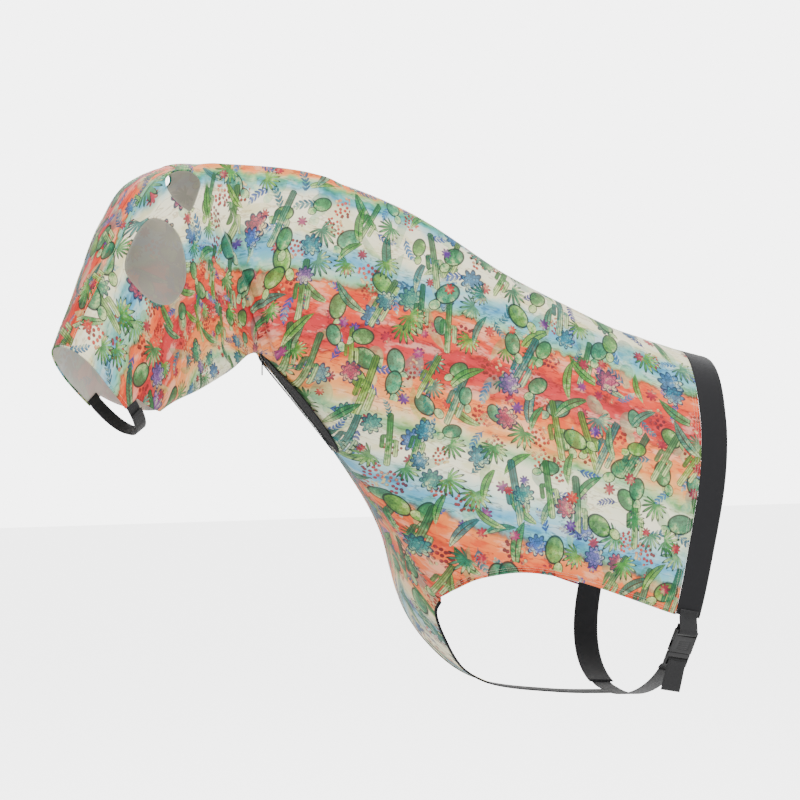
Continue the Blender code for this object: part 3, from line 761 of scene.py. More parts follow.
    def build_agave(self) -> bpy.types.NodeTree:
        """A fan of pointed leaves."""
        g, local, o = self.begin(Motif.AGAVE)
        x, y, _ = g.split(g.vector("ADD", local, (0, 0.012, 0)))
        angle = g.math("ARCTAN2", x, y)
        radius = g.vector("LENGTH", g.join(x, y))
        fan = g.mul(angle, 2.55)
        saw = g.abs(g.sub(g.math("FRACT", fan), 0.5))
        leaf = g.mul(saw, 2.0)
        reach = g.mul(g.step(g.abs(angle), 2.3, 0.2), 0.012)
        reach = g.add(reach, 0.019)
        tip = g.math("POWER", g.sub(1.0, g.math("POWER", leaf, 1.6)), 0.75)
        open_ = g.step(g.abs(angle), 2.15, 2.05)
        limit = g.mul(g.mad(tip, 0.8, 0.2), reach)
        e = g.div(radius, g.math("MAXIMUM", g.mul(limit, open_), 0.0001))
        self.finish(g, o, e, g.mul(g.step(leaf, 0.82, 0.96), 0.8))
        return g.tree

    def petals(self, g: Graph, local: object, count: int, radius: float, depth: float,
               twist: float) -> object:
        """The scaled radius of a ring of petals: 1 on their edge."""
        r, angle = polar(g, local)
        wave = g.math("COSINE", g.mad(angle, count / 2, twist))
        limit = g.mad(g.abs(wave), radius * depth, radius * (1 - depth))
        return g.div(r, limit)

    def build_rosette(self) -> bpy.types.NodeTree:
        """Rings of petals, one inside the other."""
        g, local, o = self.begin(Motif.ROSETTE)
        outer = self.petals(g, local, 9, 0.021, 0.34, 0.0)
        middle = self.petals(g, local, 8, 0.0148, 0.34, 0.8)
        inner = self.petals(g, local, 6, 0.0086, 0.36, 0.3)
        core = self.petals(g, local, 5, 0.0042, 0.3, 1.1)
        lines = None
        for ring in (middle, inner, core):
            line = g.mul(g.step(ring, 0.86, 0.97), g.step(ring, 1.10, 1.0))
            lines = line if lines is None else g.math("MAXIMUM", lines, line)
        self.finish(g, o, outer, lines)
        return g.tree

    def build_flower(self) -> bpy.types.NodeTree:
        """A small flower with notched petals."""
        g, local, o = self.begin(Motif.FLOWER)
        outer = self.petals(g, local, 8, 0.0098, 0.5, 0.0)
        rays = g.abs(g.math("SINE", g.mul(polar(g, local)[1], 4.0)))
        self.finish(g, o, outer, g.mul(g.step(rays, 0.35, 0.05), g.step(outer, 0.1, 0.3)))
        return g.tree

    def build_sprig(self) -> bpy.types.NodeTree:
        """A stem with pairs of small leaves."""
        g, local, o = self.begin(Motif.SPRIG)
        x, y, _ = g.split(local)
        across = g.abs(g.sub(x, g.mul(g.mul(y, y), 9.0)))
        place = g.sub(y, g.mul(across, 0.9))
        step = g.sub(g.math("FRACT", g.mul(place, 130)), 0.5)
        taper = g.step(g.abs(y), 0.026, 0.012)
        reach = g.mad(taper, 0.0058, 0.0004)
        leaf = g.vector("LENGTH", g.join(
            g.div(g.sub(across, g.mul(reach, 0.55)), reach),
            g.mul(step, 1.5)))
        e = g.mul(leaf, 1.7)
        stem = g.add(g.div(across, 0.0007), g.mul(g.step(g.abs(y), 0.024, 0.026), 9.0))
        e = g.add(g.math("MINIMUM", e, stem), g.mul(g.step(g.abs(y), 0.026, 0.028), 9.0))
        self.finish(g, o, e, 0.0)
        return g.tree

    def build_berry(self) -> bpy.types.NodeTree:
        """A loose cluster of small berries."""
        g, local, o = self.begin(Motif.BERRY)
        cell = g.cells(local, 128, 0.75)
        middle = g.vector("LENGTH", g.vector("DIVIDE", cell.outputs["Position"], (0.017, 0.023, 1)))
        e = g.div(cell.outputs["Distance"], 0.36)
        e = g.add(e, g.mul(g.math("GREATER_THAN", middle, 1.0), 9.0))
        self.finish(g, o, e, 0.0)
        return g.tree

    @staticmethod
    def finish(g: Graph, o: dict, e: object, detail: object) -> None:
        """Feed a motif's outputs from its scaled radius and its drawn detail."""
        mask = g.step(e, 1.06, 1.0)
        rim = g.step(e, 0.80, 0.93)
        g.feed(o["Mask"], mask)
        g.feed(o["Ink"], g.mul(g.math("MAXIMUM", rim, detail), mask))


@dataclass(frozen=True)
class Ink:
    """One motif of a grid: the share of the cells that it takes, and its colours."""

    motif: Motif
    low: float
    high: float
    colours: tuple[str, ...]
    line: str = "0d3a30"
    strength: float = 1.0
    cover: float = 0.93


@dataclass(frozen=True)
class Grid:
    """One scatter of motifs, no two of which share a cell."""

    scale: float
    seed: float
    swing: float
    scatter: float
    narrow: float
    inks: tuple[Ink, ...]


PAD_GREENS = ("4f9f62", "3a9276", "8ab650", "3f8f5a", "5fae86")
LEAF_GREENS = ("5fa548", "2f8a6a", "2b8a8c", "86b048", "3f9a5e")
BLOOMS = ("3f86b4", "3b9a98", "5fa56a", "4a7fc0", "c4546f")


class PrintedCloth:
    """The banded, watercolour desert print, drawn in metres on the cloth."""

    bands: tuple = (
        (-0.120, "efe6c4"), (-0.085, "7fbcd0"), (-0.060, "e9703f"), (-0.030, "dd5540"), (0.004, "f0a05c"),
        (0.014, "8fbf84"), (0.024, "4fa898"), (0.036, "86c2d0"), (0.052, "e8e6cf"), (0.075, "f1ecd6"),
        (0.116, "ece9cb"), (0.130, "a5d0cf"), (0.150, "72b4d0"), (0.168, "8cc6c4"), (0.181, "a9cfa4"),
        (0.186, "8f5a3e"), (0.189, "ec8a50"), (0.214, "e9703f"), (0.218, "c94a30"), (0.222, "e5643f"),
        (0.244, "dd5540"), (0.248, "b93a3c"), (0.252, "cf4148"), (0.284, "d4504e"), (0.302, "de6444"),
        (0.306, "b8462f"), (0.310, "ee8a4c"), (0.345, "f1a463"), (0.372, "efb97c"), (0.386, "cfd3a0"),
        (0.396, "9cc79a"), (0.416, "e9ead0"), (0.455, "f2efd8"), (0.480, "c3dfd9"), (0.510, "74b7d2"),
        (0.532, "8fc9cc"), (0.541, "93633f"), (0.545, "ef9a58"), (0.585, "ec7c42"), (0.590, "c65232"),
        (0.595, "e5683e"), (0.640, "ee8d50"), (0.690, "d9553f"), (0.720, "f0a464"), (0.760, "eadfb6"),
        (0.800, "86c2d4"), (0.850, "ece6c8"),
    )
    top: float = 0.97
    grids: tuple[Grid, ...] = (
        Grid(12.5, 4.41, 2.0, 0.6, 1.0, (
            Ink(Motif.PADDLE, 0.0, 0.40, ("7fbf9a", "9fcf9a", "6fb0a8"), "3f8070", 0.35, 0.5),
            Ink(Motif.POD, 0.40, 0.72, ("6fae86", "8fbf70"), "3f8070", 0.35, 0.45))),
        Grid(20.0, 3.13, 6.3, 0.7, 1.0, (
            Ink(Motif.SPRIG, 0.0, 0.42, ("3f66a8", "5a4a9c", "2f7f86", "4a86b0"), "24306e", 0.4),
            Ink(Motif.FLOWER, 0.42, 0.62, ("c4244f", "a81f5a", "dd4a2a", "6a3a9c"), "5a1030", 0.7),
            Ink(Motif.BERRY, 0.62, 0.90, ("b8452f", "cf3a34", "a03a4a"), "5a1a18", 0.7))),
        Grid(15.5, 9.29, 2.6, 0.55, 1.0, (
            Ink(Motif.AGAVE, 0.0, 0.26, LEAF_GREENS), Ink(Motif.ROSETTE, 0.26, 0.44, BLOOMS, "173f5c"),
            Ink(Motif.PADDLE, 0.44, 0.68, PAD_GREENS), Ink(Motif.POD, 0.68, 0.95, LEAF_GREENS))),
        Grid(8.4, 1.37, 0.9, 0.55, 2.1, (
            Ink(Motif.COLUMN, 0.0, 0.46, ("4f9a4e", "2f8a68", "8fae40", "2f8f86")),)),
        Grid(15.0, 5.93, 2.8, 0.5, 1.0, (
            Ink(Motif.PADDLE, 0.0, 0.26, PAD_GREENS), Ink(Motif.AGAVE, 0.26, 0.46, LEAF_GREENS),
            Ink(Motif.ROSETTE, 0.46, 0.62, BLOOMS, "173f5c"), Ink(Motif.POD, 0.62, 0.84, LEAF_GREENS))),
        Grid(17.0, 6.41, 6.3, 0.8, 1.0, (
            Ink(Motif.FLOWER, 0.0, 0.16, ("c4244f", "a81f5a", "e0502a", "74389c"), "5a1030", 0.7),)),
    )

    def __init__(self, kit: MotifKit) -> None:
        """Draw the print as one group: Vector in metres, Color out."""
        self.kit = kit
        g, i, o = new_group("desert print", {"Vector": None}, {"Color": "Color"})
        wash = g.noise(i["Vector"], 7.0, 4.0, 0.6)
        hills = g.noise(g.vector("MULTIPLY", i["Vector"], (1.0, 0.35, 1.0)), 26.0, 3.0, 0.6)
        _, v, _ = g.split(i["Vector"])
        v = g.add(v, g.mul(g.sub(wash, 0.5), 0.034))
        v = g.add(v, g.mul(g.sub(hills, 0.5), 0.030))
        low, high = (tuple(((place + 0.12) / self.top, dye(code)[:3]) for place, code in self.bands
                           if first < place < last) for first, last in ((-1, 0.30), (0.25, 1)))
        at = g.div(g.add(v, 0.12), self.top)
        colour = g.mix(g.math("GREATER_THAN", v, 0.285), g.ramp(at, low), g.ramp(at, high))
        blot = g.noise(g.vector("MULTIPLY", i["Vector"], (0.55, 1.5, 1.0)), 22.0, 4.0, 0.62)
        strata = g.noise(g.vector("MULTIPLY", i["Vector"], (0.42, 1.9, 1.0)), 17.0, 4.0, 0.6)
        edge = g.abs(g.sub(strata, 0.5))
        colour = g.mix(g.mul(g.step(blot, 0.53, 0.66), 0.28), colour, dye("fbf3dc"))
        deep = g.mix(1.0, colour, colour, "MULTIPLY")
        colour = g.mix(g.mul(g.step(blot, 0.48, 0.34), 0.75), colour, deep)
        colour = g.mix(g.mul(g.step(edge, 0.020, 0.003), 0.62), colour,
                       g.mix(1.0, deep, (0.62, 0.50, 0.5, 1), "MULTIPLY"))
        for grid in self.grids:
            cell = g.group(self.kit.scatter, Vector=i["Vector"], Scale=grid.scale, Seed=grid.seed,
                           Swing=grid.swing, Scatter=grid.scatter, Narrow=grid.narrow)
            for ink in grid.inks:
                colour = self.lay(g, i["Vector"], colour, cell, ink)
        g.feed(o["Color"], colour)
        self.tree = g.tree

    def lay(self, g: Graph, vector: object, colour: object, cell: bpy.types.Node, ink: Ink) -> object:
        """Print one motif over the colour.

        Args:
            g: The print's graph.
            vector: The place on the cloth, in metres.
            colour: What is printed so far.
            cell: The scatter that places it.
            ink: The motif and its colours.

        Returns:
            The new colour.
        """
        shape = g.group(self.kit.shapes[ink.motif], Local=cell.outputs["Local"])
        stops = tuple(((k + 0.5) / len(ink.colours), dye(code)[:3])
                      for k, code in enumerate(ink.colours))
        fill = g.ramp(cell.outputs["Pick"], stops)
        shade = g.noise(g.vector("ADD", vector, (ink.low + 0.3, 0, 0)), 85.0, 2.0, 0.6)
        x, y, _ = g.split(cell.outputs["Local"])
        side = g.mad(g.add(x, g.mul(y, 0.45)), 26.0, g.mul(g.sub(shade, 0.5), 1.6))
        fill = g.mix(g.mul(g.step(side, 0.0, 0.75), 0.62), fill, dye("e9efb4"))
        fill = g.mix(g.mul(g.step(side, 0.15, -0.50), 0.88), fill,
                     g.mix(1.0, fill, (0.24, 0.36, 0.40, 1), "MULTIPLY"))
        fill = g.mix(g.mul(shape.outputs["Ink"], ink.strength), fill, dye(ink.line))
        chance = cell.outputs["Chance"]
        shown = g.mul(g.math("GREATER_THAN", chance, ink.low - 0.001), g.math("LESS_THAN", chance, ink.high))
        shown = g.mul(shape.outputs["Mask"], shown)
        return g.mix(g.mul(shown, ink.cover), colour, fill)


@dataclass(frozen=True)
class Finish:
    """A plain finish: its colour and how it takes the light."""

    name: str
    colour: str
    roughness: float
    metallic: float = 0.0
    specular: float = 0.4
    sheen: float = 0.0
    coat: float = 0.0
    ribs: float = 0.0
    weave: float = 0.0
    depth: float = 0.3


class Wardrobe:
    """Every material of the hood."""

    finishes: tuple = (
        Finish("black elastic", "17171a", 0.78, specular=0.25, sheen=0.25, ribs=0.0021, depth=0.7),
        Finish("black webbing", "141416", 0.62, specular=0.35, sheen=0.2, weave=0.0016, depth=0.8),
        Finish("black binding", "101013", 0.88, specular=0.15, sheen=0.12, weave=0.0007, depth=0.5),
        Finish("zip tape", "0c0c0e", 0.9, specular=0.12, sheen=0.05, weave=0.0009, depth=0.5),
        Finish("moulded plastic", "0d0d0f", 0.34, specular=0.5, coat=0.08),
        Finish("coil nylon", "08080a", 0.5, specular=0.3),
        Finish("lacquered metal", "16161a", 0.3, metallic=0.85, specular=0.5, coat=0.4),
        Finish("hook tape", "101012", 0.95, specular=0.15, sheen=0.4, weave=0.0012, depth=1.0),
        Finish("thread", "1b1c22", 0.7, specular=0.3, sheen=0.3),
        Finish("pale thread", "b9bda6", 0.7, specular=0.3, sheen=0.3),
    )

    def __init__(self) -> None:
        """Build the materials."""
        self.weave_group = self.build_weave()
        self.made = {f.name: self.plain(f) for f in self.finishes}
        cloth = PrintedCloth(MotifKit())
        self.made["printed knit"] = self.knit("printed knit", cloth, False)
        self.made["knit back"] = self.knit("knit back", cloth, True)

    def __getitem__(self, name: str) -> bpy.types.Material:
        """A material by name."""
        return self.made[name]

    @staticmethod
    def shader(name: str) -> tuple[bpy.types.Material, Graph, bpy.types.Node]:
        """A new material with its Principled shader wired to the output."""
        mat = bpy.data.materials.new(name)
        mat.use_nodes = True
        mat.node_tree.nodes.clear()
        g = Graph(mat.node_tree)
        bsdf = g.node("ShaderNodeBsdfPrincipled")
        out = g.node("ShaderNodeOutputMaterial")
        g.feed(out.inputs["Surface"], bsdf.outputs[0])
        return mat, g, bsdf

    @staticmethod
    def build_weave() -> bpy.types.NodeTree:
        """A woven height: warp ribs crossed by weft, from metres along and across, with painted shade that
        darkens its hollows.
        """
        g, i, o = new_group("woven height", {"Vector": None, "Rib": 0.002, "Pick": 0.001, "Ribbed": 0.0},
                            {"Height": "Float", "Shade": "Float"})
        x, y, _ = g.split(i["Vector"])
        warp = g.div(y, i["Rib"])
        weft = g.add(g.div(x, i["Pick"]), g.mul(g.math("FLOOR", warp), 0.5))
        rib = g.abs(g.math("SINE", g.mul(warp, math.pi)))
        knot = g.abs(g.math("SINE", g.mul(weft, math.pi)))
        height = g.mul(g.math("POWER", rib, 0.6), g.mad(knot, 0.5, 0.5))
        fuzz = g.noise(i["Vector"], 1800.0, 2.0)
        g.feed(o["Height"], g.mad(fuzz, 0.25, height))
        # Shade is painted shade: darker in the weave's hollows, lighter on its ribs.
        g.feed(o["Shade"], g.mad(height, 0.5, 0.55))
        return g.tree

    def plain(self, f: Finish) -> bpy.types.Material:
        """A material from a plain finish."""
        mat, g, bsdf = self.shader(f.name)
        bsdf.inputs["Base Color"].default_value = (*paint(f.colour), 1)
        bsdf.inputs["Roughness"].default_value = f.roughness
        bsdf.inputs["Metallic"].default_value = f.metallic
        bsdf.inputs["Specular IOR Level"].default_value = f.specular
        bsdf.inputs["Sheen Weight"].default_value = f.sheen
        bsdf.inputs["Sheen Roughness"].default_value = 0.4
        bsdf.inputs["Coat Weight"].default_value = f.coat
        bsdf.inputs["Coat Roughness"].default_value = 0.2
        bump = g.node("ShaderNodeBump")
        bump.inputs["Strength"].default_value = f.depth
        if f.ribs or f.weave:
            uv = g.node("ShaderNodeUVMap", uv_map="UVMap").outputs[0]
            pitch = f.ribs or f.weave
            weave = g.group(self.weave_group, Vector=uv, Rib=pitch, Pick=pitch * 0.6)
            # painted shade: the weave's hollows darken the finish's colour
            shade = g.mix(1.0, (*paint(f.colour), 1), weave.outputs["Shade"], "MULTIPLY")
            g.feed(bsdf.inputs["Base Color"], shade)
            g.feed(bump.inputs["Height"], weave.outputs["Height"])
            bump.inputs["Distance"].default_value = 0.0003
        else:
            coords = g.node("ShaderNodeTexCoord").outputs["Object"]
            grain = g.noise(coords, 420.0, 3.0, 0.6, "3D")
            g.feed(bsdf.inputs["Roughness"], g.mad(grain, 0.18, f.roughness - 0.09))
            g.feed(bump.inputs["Height"], grain)
            bump.inputs["Distance"].default_value = 0.00005
        g.feed(bsdf.inputs["Normal"], bump.outputs[0])
        return mat

    def knit(self, name: str, cloth: PrintedCloth, back: bool) -> bpy.types.Material:
        """The printed stretch knit, or its paler back.

        Args:
            name: The material's name.
            cloth: The print.
            back: Whether this is the inner face.

        Returns:
            The material.
        """
        mat, g, bsdf = self.shader(name)
        uv = g.node("ShaderNodeUVMap", uv_map="UVMap").outputs[0]
        printed = g.group(cloth.tree, Vector=uv).outputs["Color"]
        x, y, _ = g.split(uv)
        wale = g.abs(g.math("SINE", g.mul(x, math.pi / 0.0009)))
        course = g.abs(g.math("SINE", g.mul(y, math.pi / 0.0007)))
        loops = g.mad(course, 0.4, wale)
        if back:
            printed = g.mix(0.78, printed, (*paint("e9e4dc"), 1))
        # painted shade: the colour is a little darker in the hollows between the knit loops
        shade = g.mad(loops, 0.06, 0.92)
        g.feed(bsdf.inputs["Base Color"], g.mix(1.0, printed, shade, "MULTIPLY"))
        bsdf.inputs["Roughness"].default_value = 0.62
        bsdf.inputs["Specular IOR Level"].default_value = 0.32
        bsdf.inputs["Sheen Weight"].default_value = 0.22
        bsdf.inputs["Sheen Roughness"].default_value = 0.35
        bump = g.node("ShaderNodeBump")
        bump.inputs["Strength"].default_value = 0.35
        bump.inputs["Distance"].default_value = 0.00015
        g.feed(bump.inputs["Height"], loops)
        g.feed(bsdf.inputs["Normal"], bump.outputs[0])
        return mat


# ---------------------------------------------------------------- printed panels
@dataclass(frozen=True)
class Fold:
    """One soft crease or ridge of the cloth, between two spots of the form."""

    start: tuple[float, float]
    end: tuple[float, float]
    height: float
    width: float
    bow: float = 0.0


class Drape:
    """How far the cloth stands off the form: folds at the throat, soft swells, puckers by the hems."""

    folds: tuple[Fold, ...] = (
        Fold((4.86, 0.30), (5.62, 0.90), 0.0065, 0.010, 0.10),
        Fold((5.25, 0.28), (5.98, 0.88), -0.0050, 0.009, 0.12),
        Fold((5.55, 0.22), (6.32, 0.88), 0.0071, 0.011, 0.10),
        Fold((6.02, 0.24), (6.66, 0.86), -0.0053, 0.010, 0.08),
        Fold((6.30, 0.16), (7.02, 0.86), 0.0059, 0.012, 0.06),
        Fold((6.95, 0.20), (7.42, 0.84), 0.0040, 0.014, 0.04),
        Fold((5.50, 0.030), (7.40, 0.035), 0.0047, 0.009, 0.0),
        Fold((4.95, 0.55), (5.20, 0.93), -0.0040, 0.008, 0.0),
        Fold((7.9, 0.30), (8.25, 0.86), -0.0016, 0.018, 0.0),
        Fold((9.0, 0.62), (10.3, 0.30), 0.0022, 0.030, 0.05),
        Fold((9.9, 0.78), (11.5, 0.50), -0.0018, 0.022, 0.03),
        Fold((9.6, 0.86), (10.0, 0.62), 0.0020, 0.012, 0.02),
        Fold((3.1, 0.62), (4.75, 0.86), 0.0016, 0.014, 0.05),
        Fold((1.2, 0.46), (2.2, 0.70), 0.0014, 0.012, 0.03),
    )
    metres = np.array((0.095, 0.52))  # about one unit of s and of w
    fullness = 1.25                   # scales every fold
    off_fullness = 0.85               # the off side hangs a little flatter
    swell = 0.0006
    pucker = 0.00035
    pucker_pitch = 0.011

    def height(self, s: np.ndarray, w: np.ndarray) -> np.ndarray:
        """The cloth's height over the form, in metres.

        Args:
            s: Stations.
            w: Places round the horse.

        Returns:
            The heights.
        """
        near = np.where(w < 0, 1.0, self.off_fullness)
        across = np.minimum(np.abs(w), 2 - np.abs(w))
        spot = np.stack([s, across], -1) * self.metres
        rise = np.zeros_like(s)
        for fold in self.folds:
            a, b = np.array(fold.start) * self.metres, np.array(fold.end) * self.metres
            run = b - a
            length = float(np.linalg.norm(run))
            run = run / length
            t = (spot - a) @ run / length
            off = (spot - a) @ np.array((-run[1], run[0])) - fold.bow * length * t * (1 - t)
            ends = np.clip(t / 0.25, 0, 1) * np.clip((1 - t) / 0.12, 0, 1)
            ends = ends * ends * (3 - 2 * ends)
            wide = fold.width * (1.25 - 0.45 * np.clip(t, 0, 1))
            rise += fold.height * ends * np.exp(-(off / wide) ** 2)
        swell = (np.sin(s * 2.9 + 5 * across) * np.sin(9.5 * across + 0.7 * s)
                 + 0.6 * np.sin(s * 5.3 - 11 * across + 1.0))
        return self.fullness * rise * near + self.swell * swell

    def puckers(self, s: np.ndarray, w: np.ndarray) -> np.ndarray:
        """Small ripples that the sewn rear edge draws into the cloth."""
        across = np.abs(w)
        grid_w = np.linspace(0, 0.648, 60)
        edge = np.interp(across, grid_w, [girth_edge_at(float(v)) for v in grid_w])
        away = np.clip((edge - s) * 0.06, 0, None)
        ripple = np.sin(across * 0.66 / self.pucker_pitch * math.pi * 2 + 1.3 * np.sin(across * 31))
        fade = np.exp(-(away / 0.012) ** 2) * (across < 0.66)
        return self.pucker * ripple * fade


CUT_SCALE = (0.1, 0.6)     # metres on the cutting plane for one unit of s and of w
UNDERLAP = 0.0013          # how far the forehead and chest panels lie under the side panels


@dataclass
class Panel:
    """One cut piece of the printed cloth."""

    name: str
    outline: list[tuple[float, float]]
    holes: list[list[tuple[float, float]]]
    flat: tuple[float, float]
    area: float
    grid: float = 0.0062
    thickness: float = 0.0011
    sunk: float = 0.0

    def outline_points(self, loop: list) -> np.ndarray:
        """A loop's points, evenly spaced in the cutting plane."""
        pts = np.array(loop, float) * CUT_SCALE
        pts = np.vstack([pts, pts[:1]])
        steps = np.linalg.norm(np.diff(pts, axis=0), axis=1)
        run = np.concatenate([[0], np.cumsum(steps)])
        count = max(8, int(run[-1] / (self.grid * 0.8)))
        at = np.linspace(0, run[-1], count, endpoint=False)
        return np.stack([np.interp(at, run, pts[:, 0]), np.interp(at, run, pts[:, 1])], 1)

    def mesh(self) -> tuple[np.ndarray, list]:
        """The panel's (s, w) points and triangles."""
        loops = [self.outline_points(loop) for loop in [self.outline] + self.holes]
        edge, holes = loops[0], loops[1:]
        low, high = edge.min(0), edge.max(0)
        xs = np.arange(low[0], high[0], self.grid)
        ys = np.arange(low[1], high[1], self.grid * 0.866)
        gx, gy = np.meshgrid(xs, ys)
        gx = gx + (np.arange(len(ys)) % 2)[:, None] * self.grid / 2
        spots = np.stack([gx.ravel(), gy.ravel()], 1)
        keep = inside(spots, edge)
        for hole in holes:
            keep &= ~inside(spots, hole)
        spots = spots[keep]
        border = np.vstack(loops)
        far = np.ones(len(spots), bool)
        for k in range(0, len(border), 64):
            gap = np.linalg.norm(spots[:, None] - border[None, k:k + 64], axis=2).min(1)
            far &= gap > self.grid * 0.55
        spots = spots[far]
        verts = np.vstack([border, spots])
        lines, start = [], 0
        for loop in loops:
            n = len(loop)
            lines += [(start + k, start + (k + 1) % n) for k in range(n)]
            start += n
        out, _, faces, *_ = delaunay_2d_cdt([Vector(p) for p in verts], lines, [], 0, 1e-7)
        out = np.array([tuple(p) for p in out])
        middles = np.array([out[list(f)].mean(0) for f in faces])
        keep = inside(middles, edge)
        for hole in holes:
            keep &= ~inside(middles, hole)
        return out / CUT_SCALE, [f for f, k in zip(faces, keep) if k]

    def build(self, wardrobe: Wardrobe, drape: Drape) -> bpy.types.Object:
        """Sew the panel: both faces of the cloth, its folds and its print's UVs."""
        plane, faces = self.mesh()
        s, w = plane[:, 0], plane[:, 1]
        rise = drape.height(s, w) + drape.puckers(s, w) - self.sunk
        points = FORM.point(s, w) + FORM.normal(s, w) * (rise[:, None] + self.thickness / 2)
        mesh = bpy.data.meshes.new(self.name)
        mesh.from_pydata(points.tolist(), [], faces)
        uv = self.print_place(s, w)
        layer = mesh.uv_layers.new(name="UVMap")
        corner = np.empty(len(mesh.loops), np.int32)
        mesh.loops.foreach_get("vertex_index", corner)
        layer.data.foreach_set("uv", uv[corner].astype(np.float32).ravel())
        bm = bmesh.new()
        bm.from_mesh(mesh)
        bmesh.ops.delete(bm, geom=[v for v in bm.verts if not v.link_faces], context="VERTS")
        bm.normal_update()
        first = bm.faces[:][0]
        k = int(np.argmin(np.linalg.norm(points - np.array(first.calc_center_median()), axis=1)))
        if float(np.dot(FORM.normal(s[k], w[k]), np.array(first.normal))) < 0:
            bmesh.ops.reverse_faces(bm, faces=bm.faces)
        bm.to_mesh(mesh)
        bm.free()
        mesh.shade_smooth()
        ob = new_piece("cloth_" + self.name, mesh, [wardrobe["printed knit"], wardrobe["knit back"]])
        solid = ob.modifiers.new("cloth", "SOLIDIFY")
        solid.thickness = self.thickness
        solid.offset = 0.0
        solid.material_offset = 1
        applied(ob)
        settle(ob, "root", "printed_knit", self.name)
        worn = sum(face.area for face in ob.data.polygons) / 2
        LOG.info("%s: %.4f square metres worn", self.name, worn)
        return ob

    def print_place(self, s: np.ndarray, w: np.ndarray) -> np.ndarray:
        """The UVs of the panel's points, in metres on the cloth."""
        p = FORM.point(s, w) - FORM.point(s, np.round(w))  # from the middle line
        if self.name == "forehead_panel":
            off = np.linalg.norm(p, axis=-1) * np.sign(w)
            return np.stack([np.interp(s, PRINT.s_grid, PRINT.along) + 0.9, 0.238 + 1.7 * off], -1)
        uv = PRINT.uv(s, w)
        if self.name == "chest_gusset":
            uv[..., 0] = p[..., 1] + 1.7
        return uv


class Cloth:
    """The four printed panels."""

    def __init__(self, wardrobe: Wardrobe) -> None:
        """Keep the materials and lay out the cuts."""
        self.wardrobe = wardrobe
        self.drape = Drape()
        crest = tuple((s, 0.0012) for s in (12.45, 11.6, 10.6, 9.6, 8.6, 7.6, 6.6, 5.7, 4.92))
        jaw = tuple((s, 0.9985) for s in (1.0, 2.0, 3.0, 4.0, 4.62))
        step = 0.01
        face = tuple(reversed([(s, w + 0.0008) for s, w in FACE_SEAM]))
        self.side_edge = (smooth(NOSE_EDGE, step)[:-1] + [NOSE_EDGE[-1]] + smooth(CHIN_EDGE, step)[:-1]
                          + smooth(jaw, step) + smooth(ZIP_EDGE, step) + smooth(GUSSET_SEAM, step)[:-1]
                          + smooth(LEG_ARCH, step)[:-1] + smooth(GIRTH_EDGE, step)[:-1]
                          + smooth(crest, step) + smooth(face, step))

    def build(self) -> None:
        """Build every panel."""
        for side, name in ((Side.LEFT, "left"), (Side.RIGHT, "right")):
            holes = [on_side(smooth(shape, 0.008, True), side) for shape in (EYE, EAR)]
            Panel(name + "_side_panel", on_side(self.side_edge, side), holes, (1.24, 0.66), 0.535,
                  ).build(self.wardrobe, self.drape)
        seam = [(s, w + 0.012) for s, w in smooth(FACE_SEAM, 0.01)]
        loop = seam + [(4.90, 0.0)] + [(s, -w) for s, w in reversed(seam)]
        Panel("forehead_panel", loop, [], (0.40, 0.095), 0.030, sunk=UNDERLAP,
              ).build(self.wardrobe, self.drape)
        half = [(s - 0.02, w - 0.006) for s, w in smooth(GUSSET_SEAM, 0.01)] + smooth(GUSSET_LEG, 0.01)
        loop = half + [(s, 2 - w) for s, w in reversed(half)]
        Panel("chest_gusset", loop, [], (0.46, 0.24), 0.062, sunk=UNDERLAP).build(self.wardrobe, self.drape)


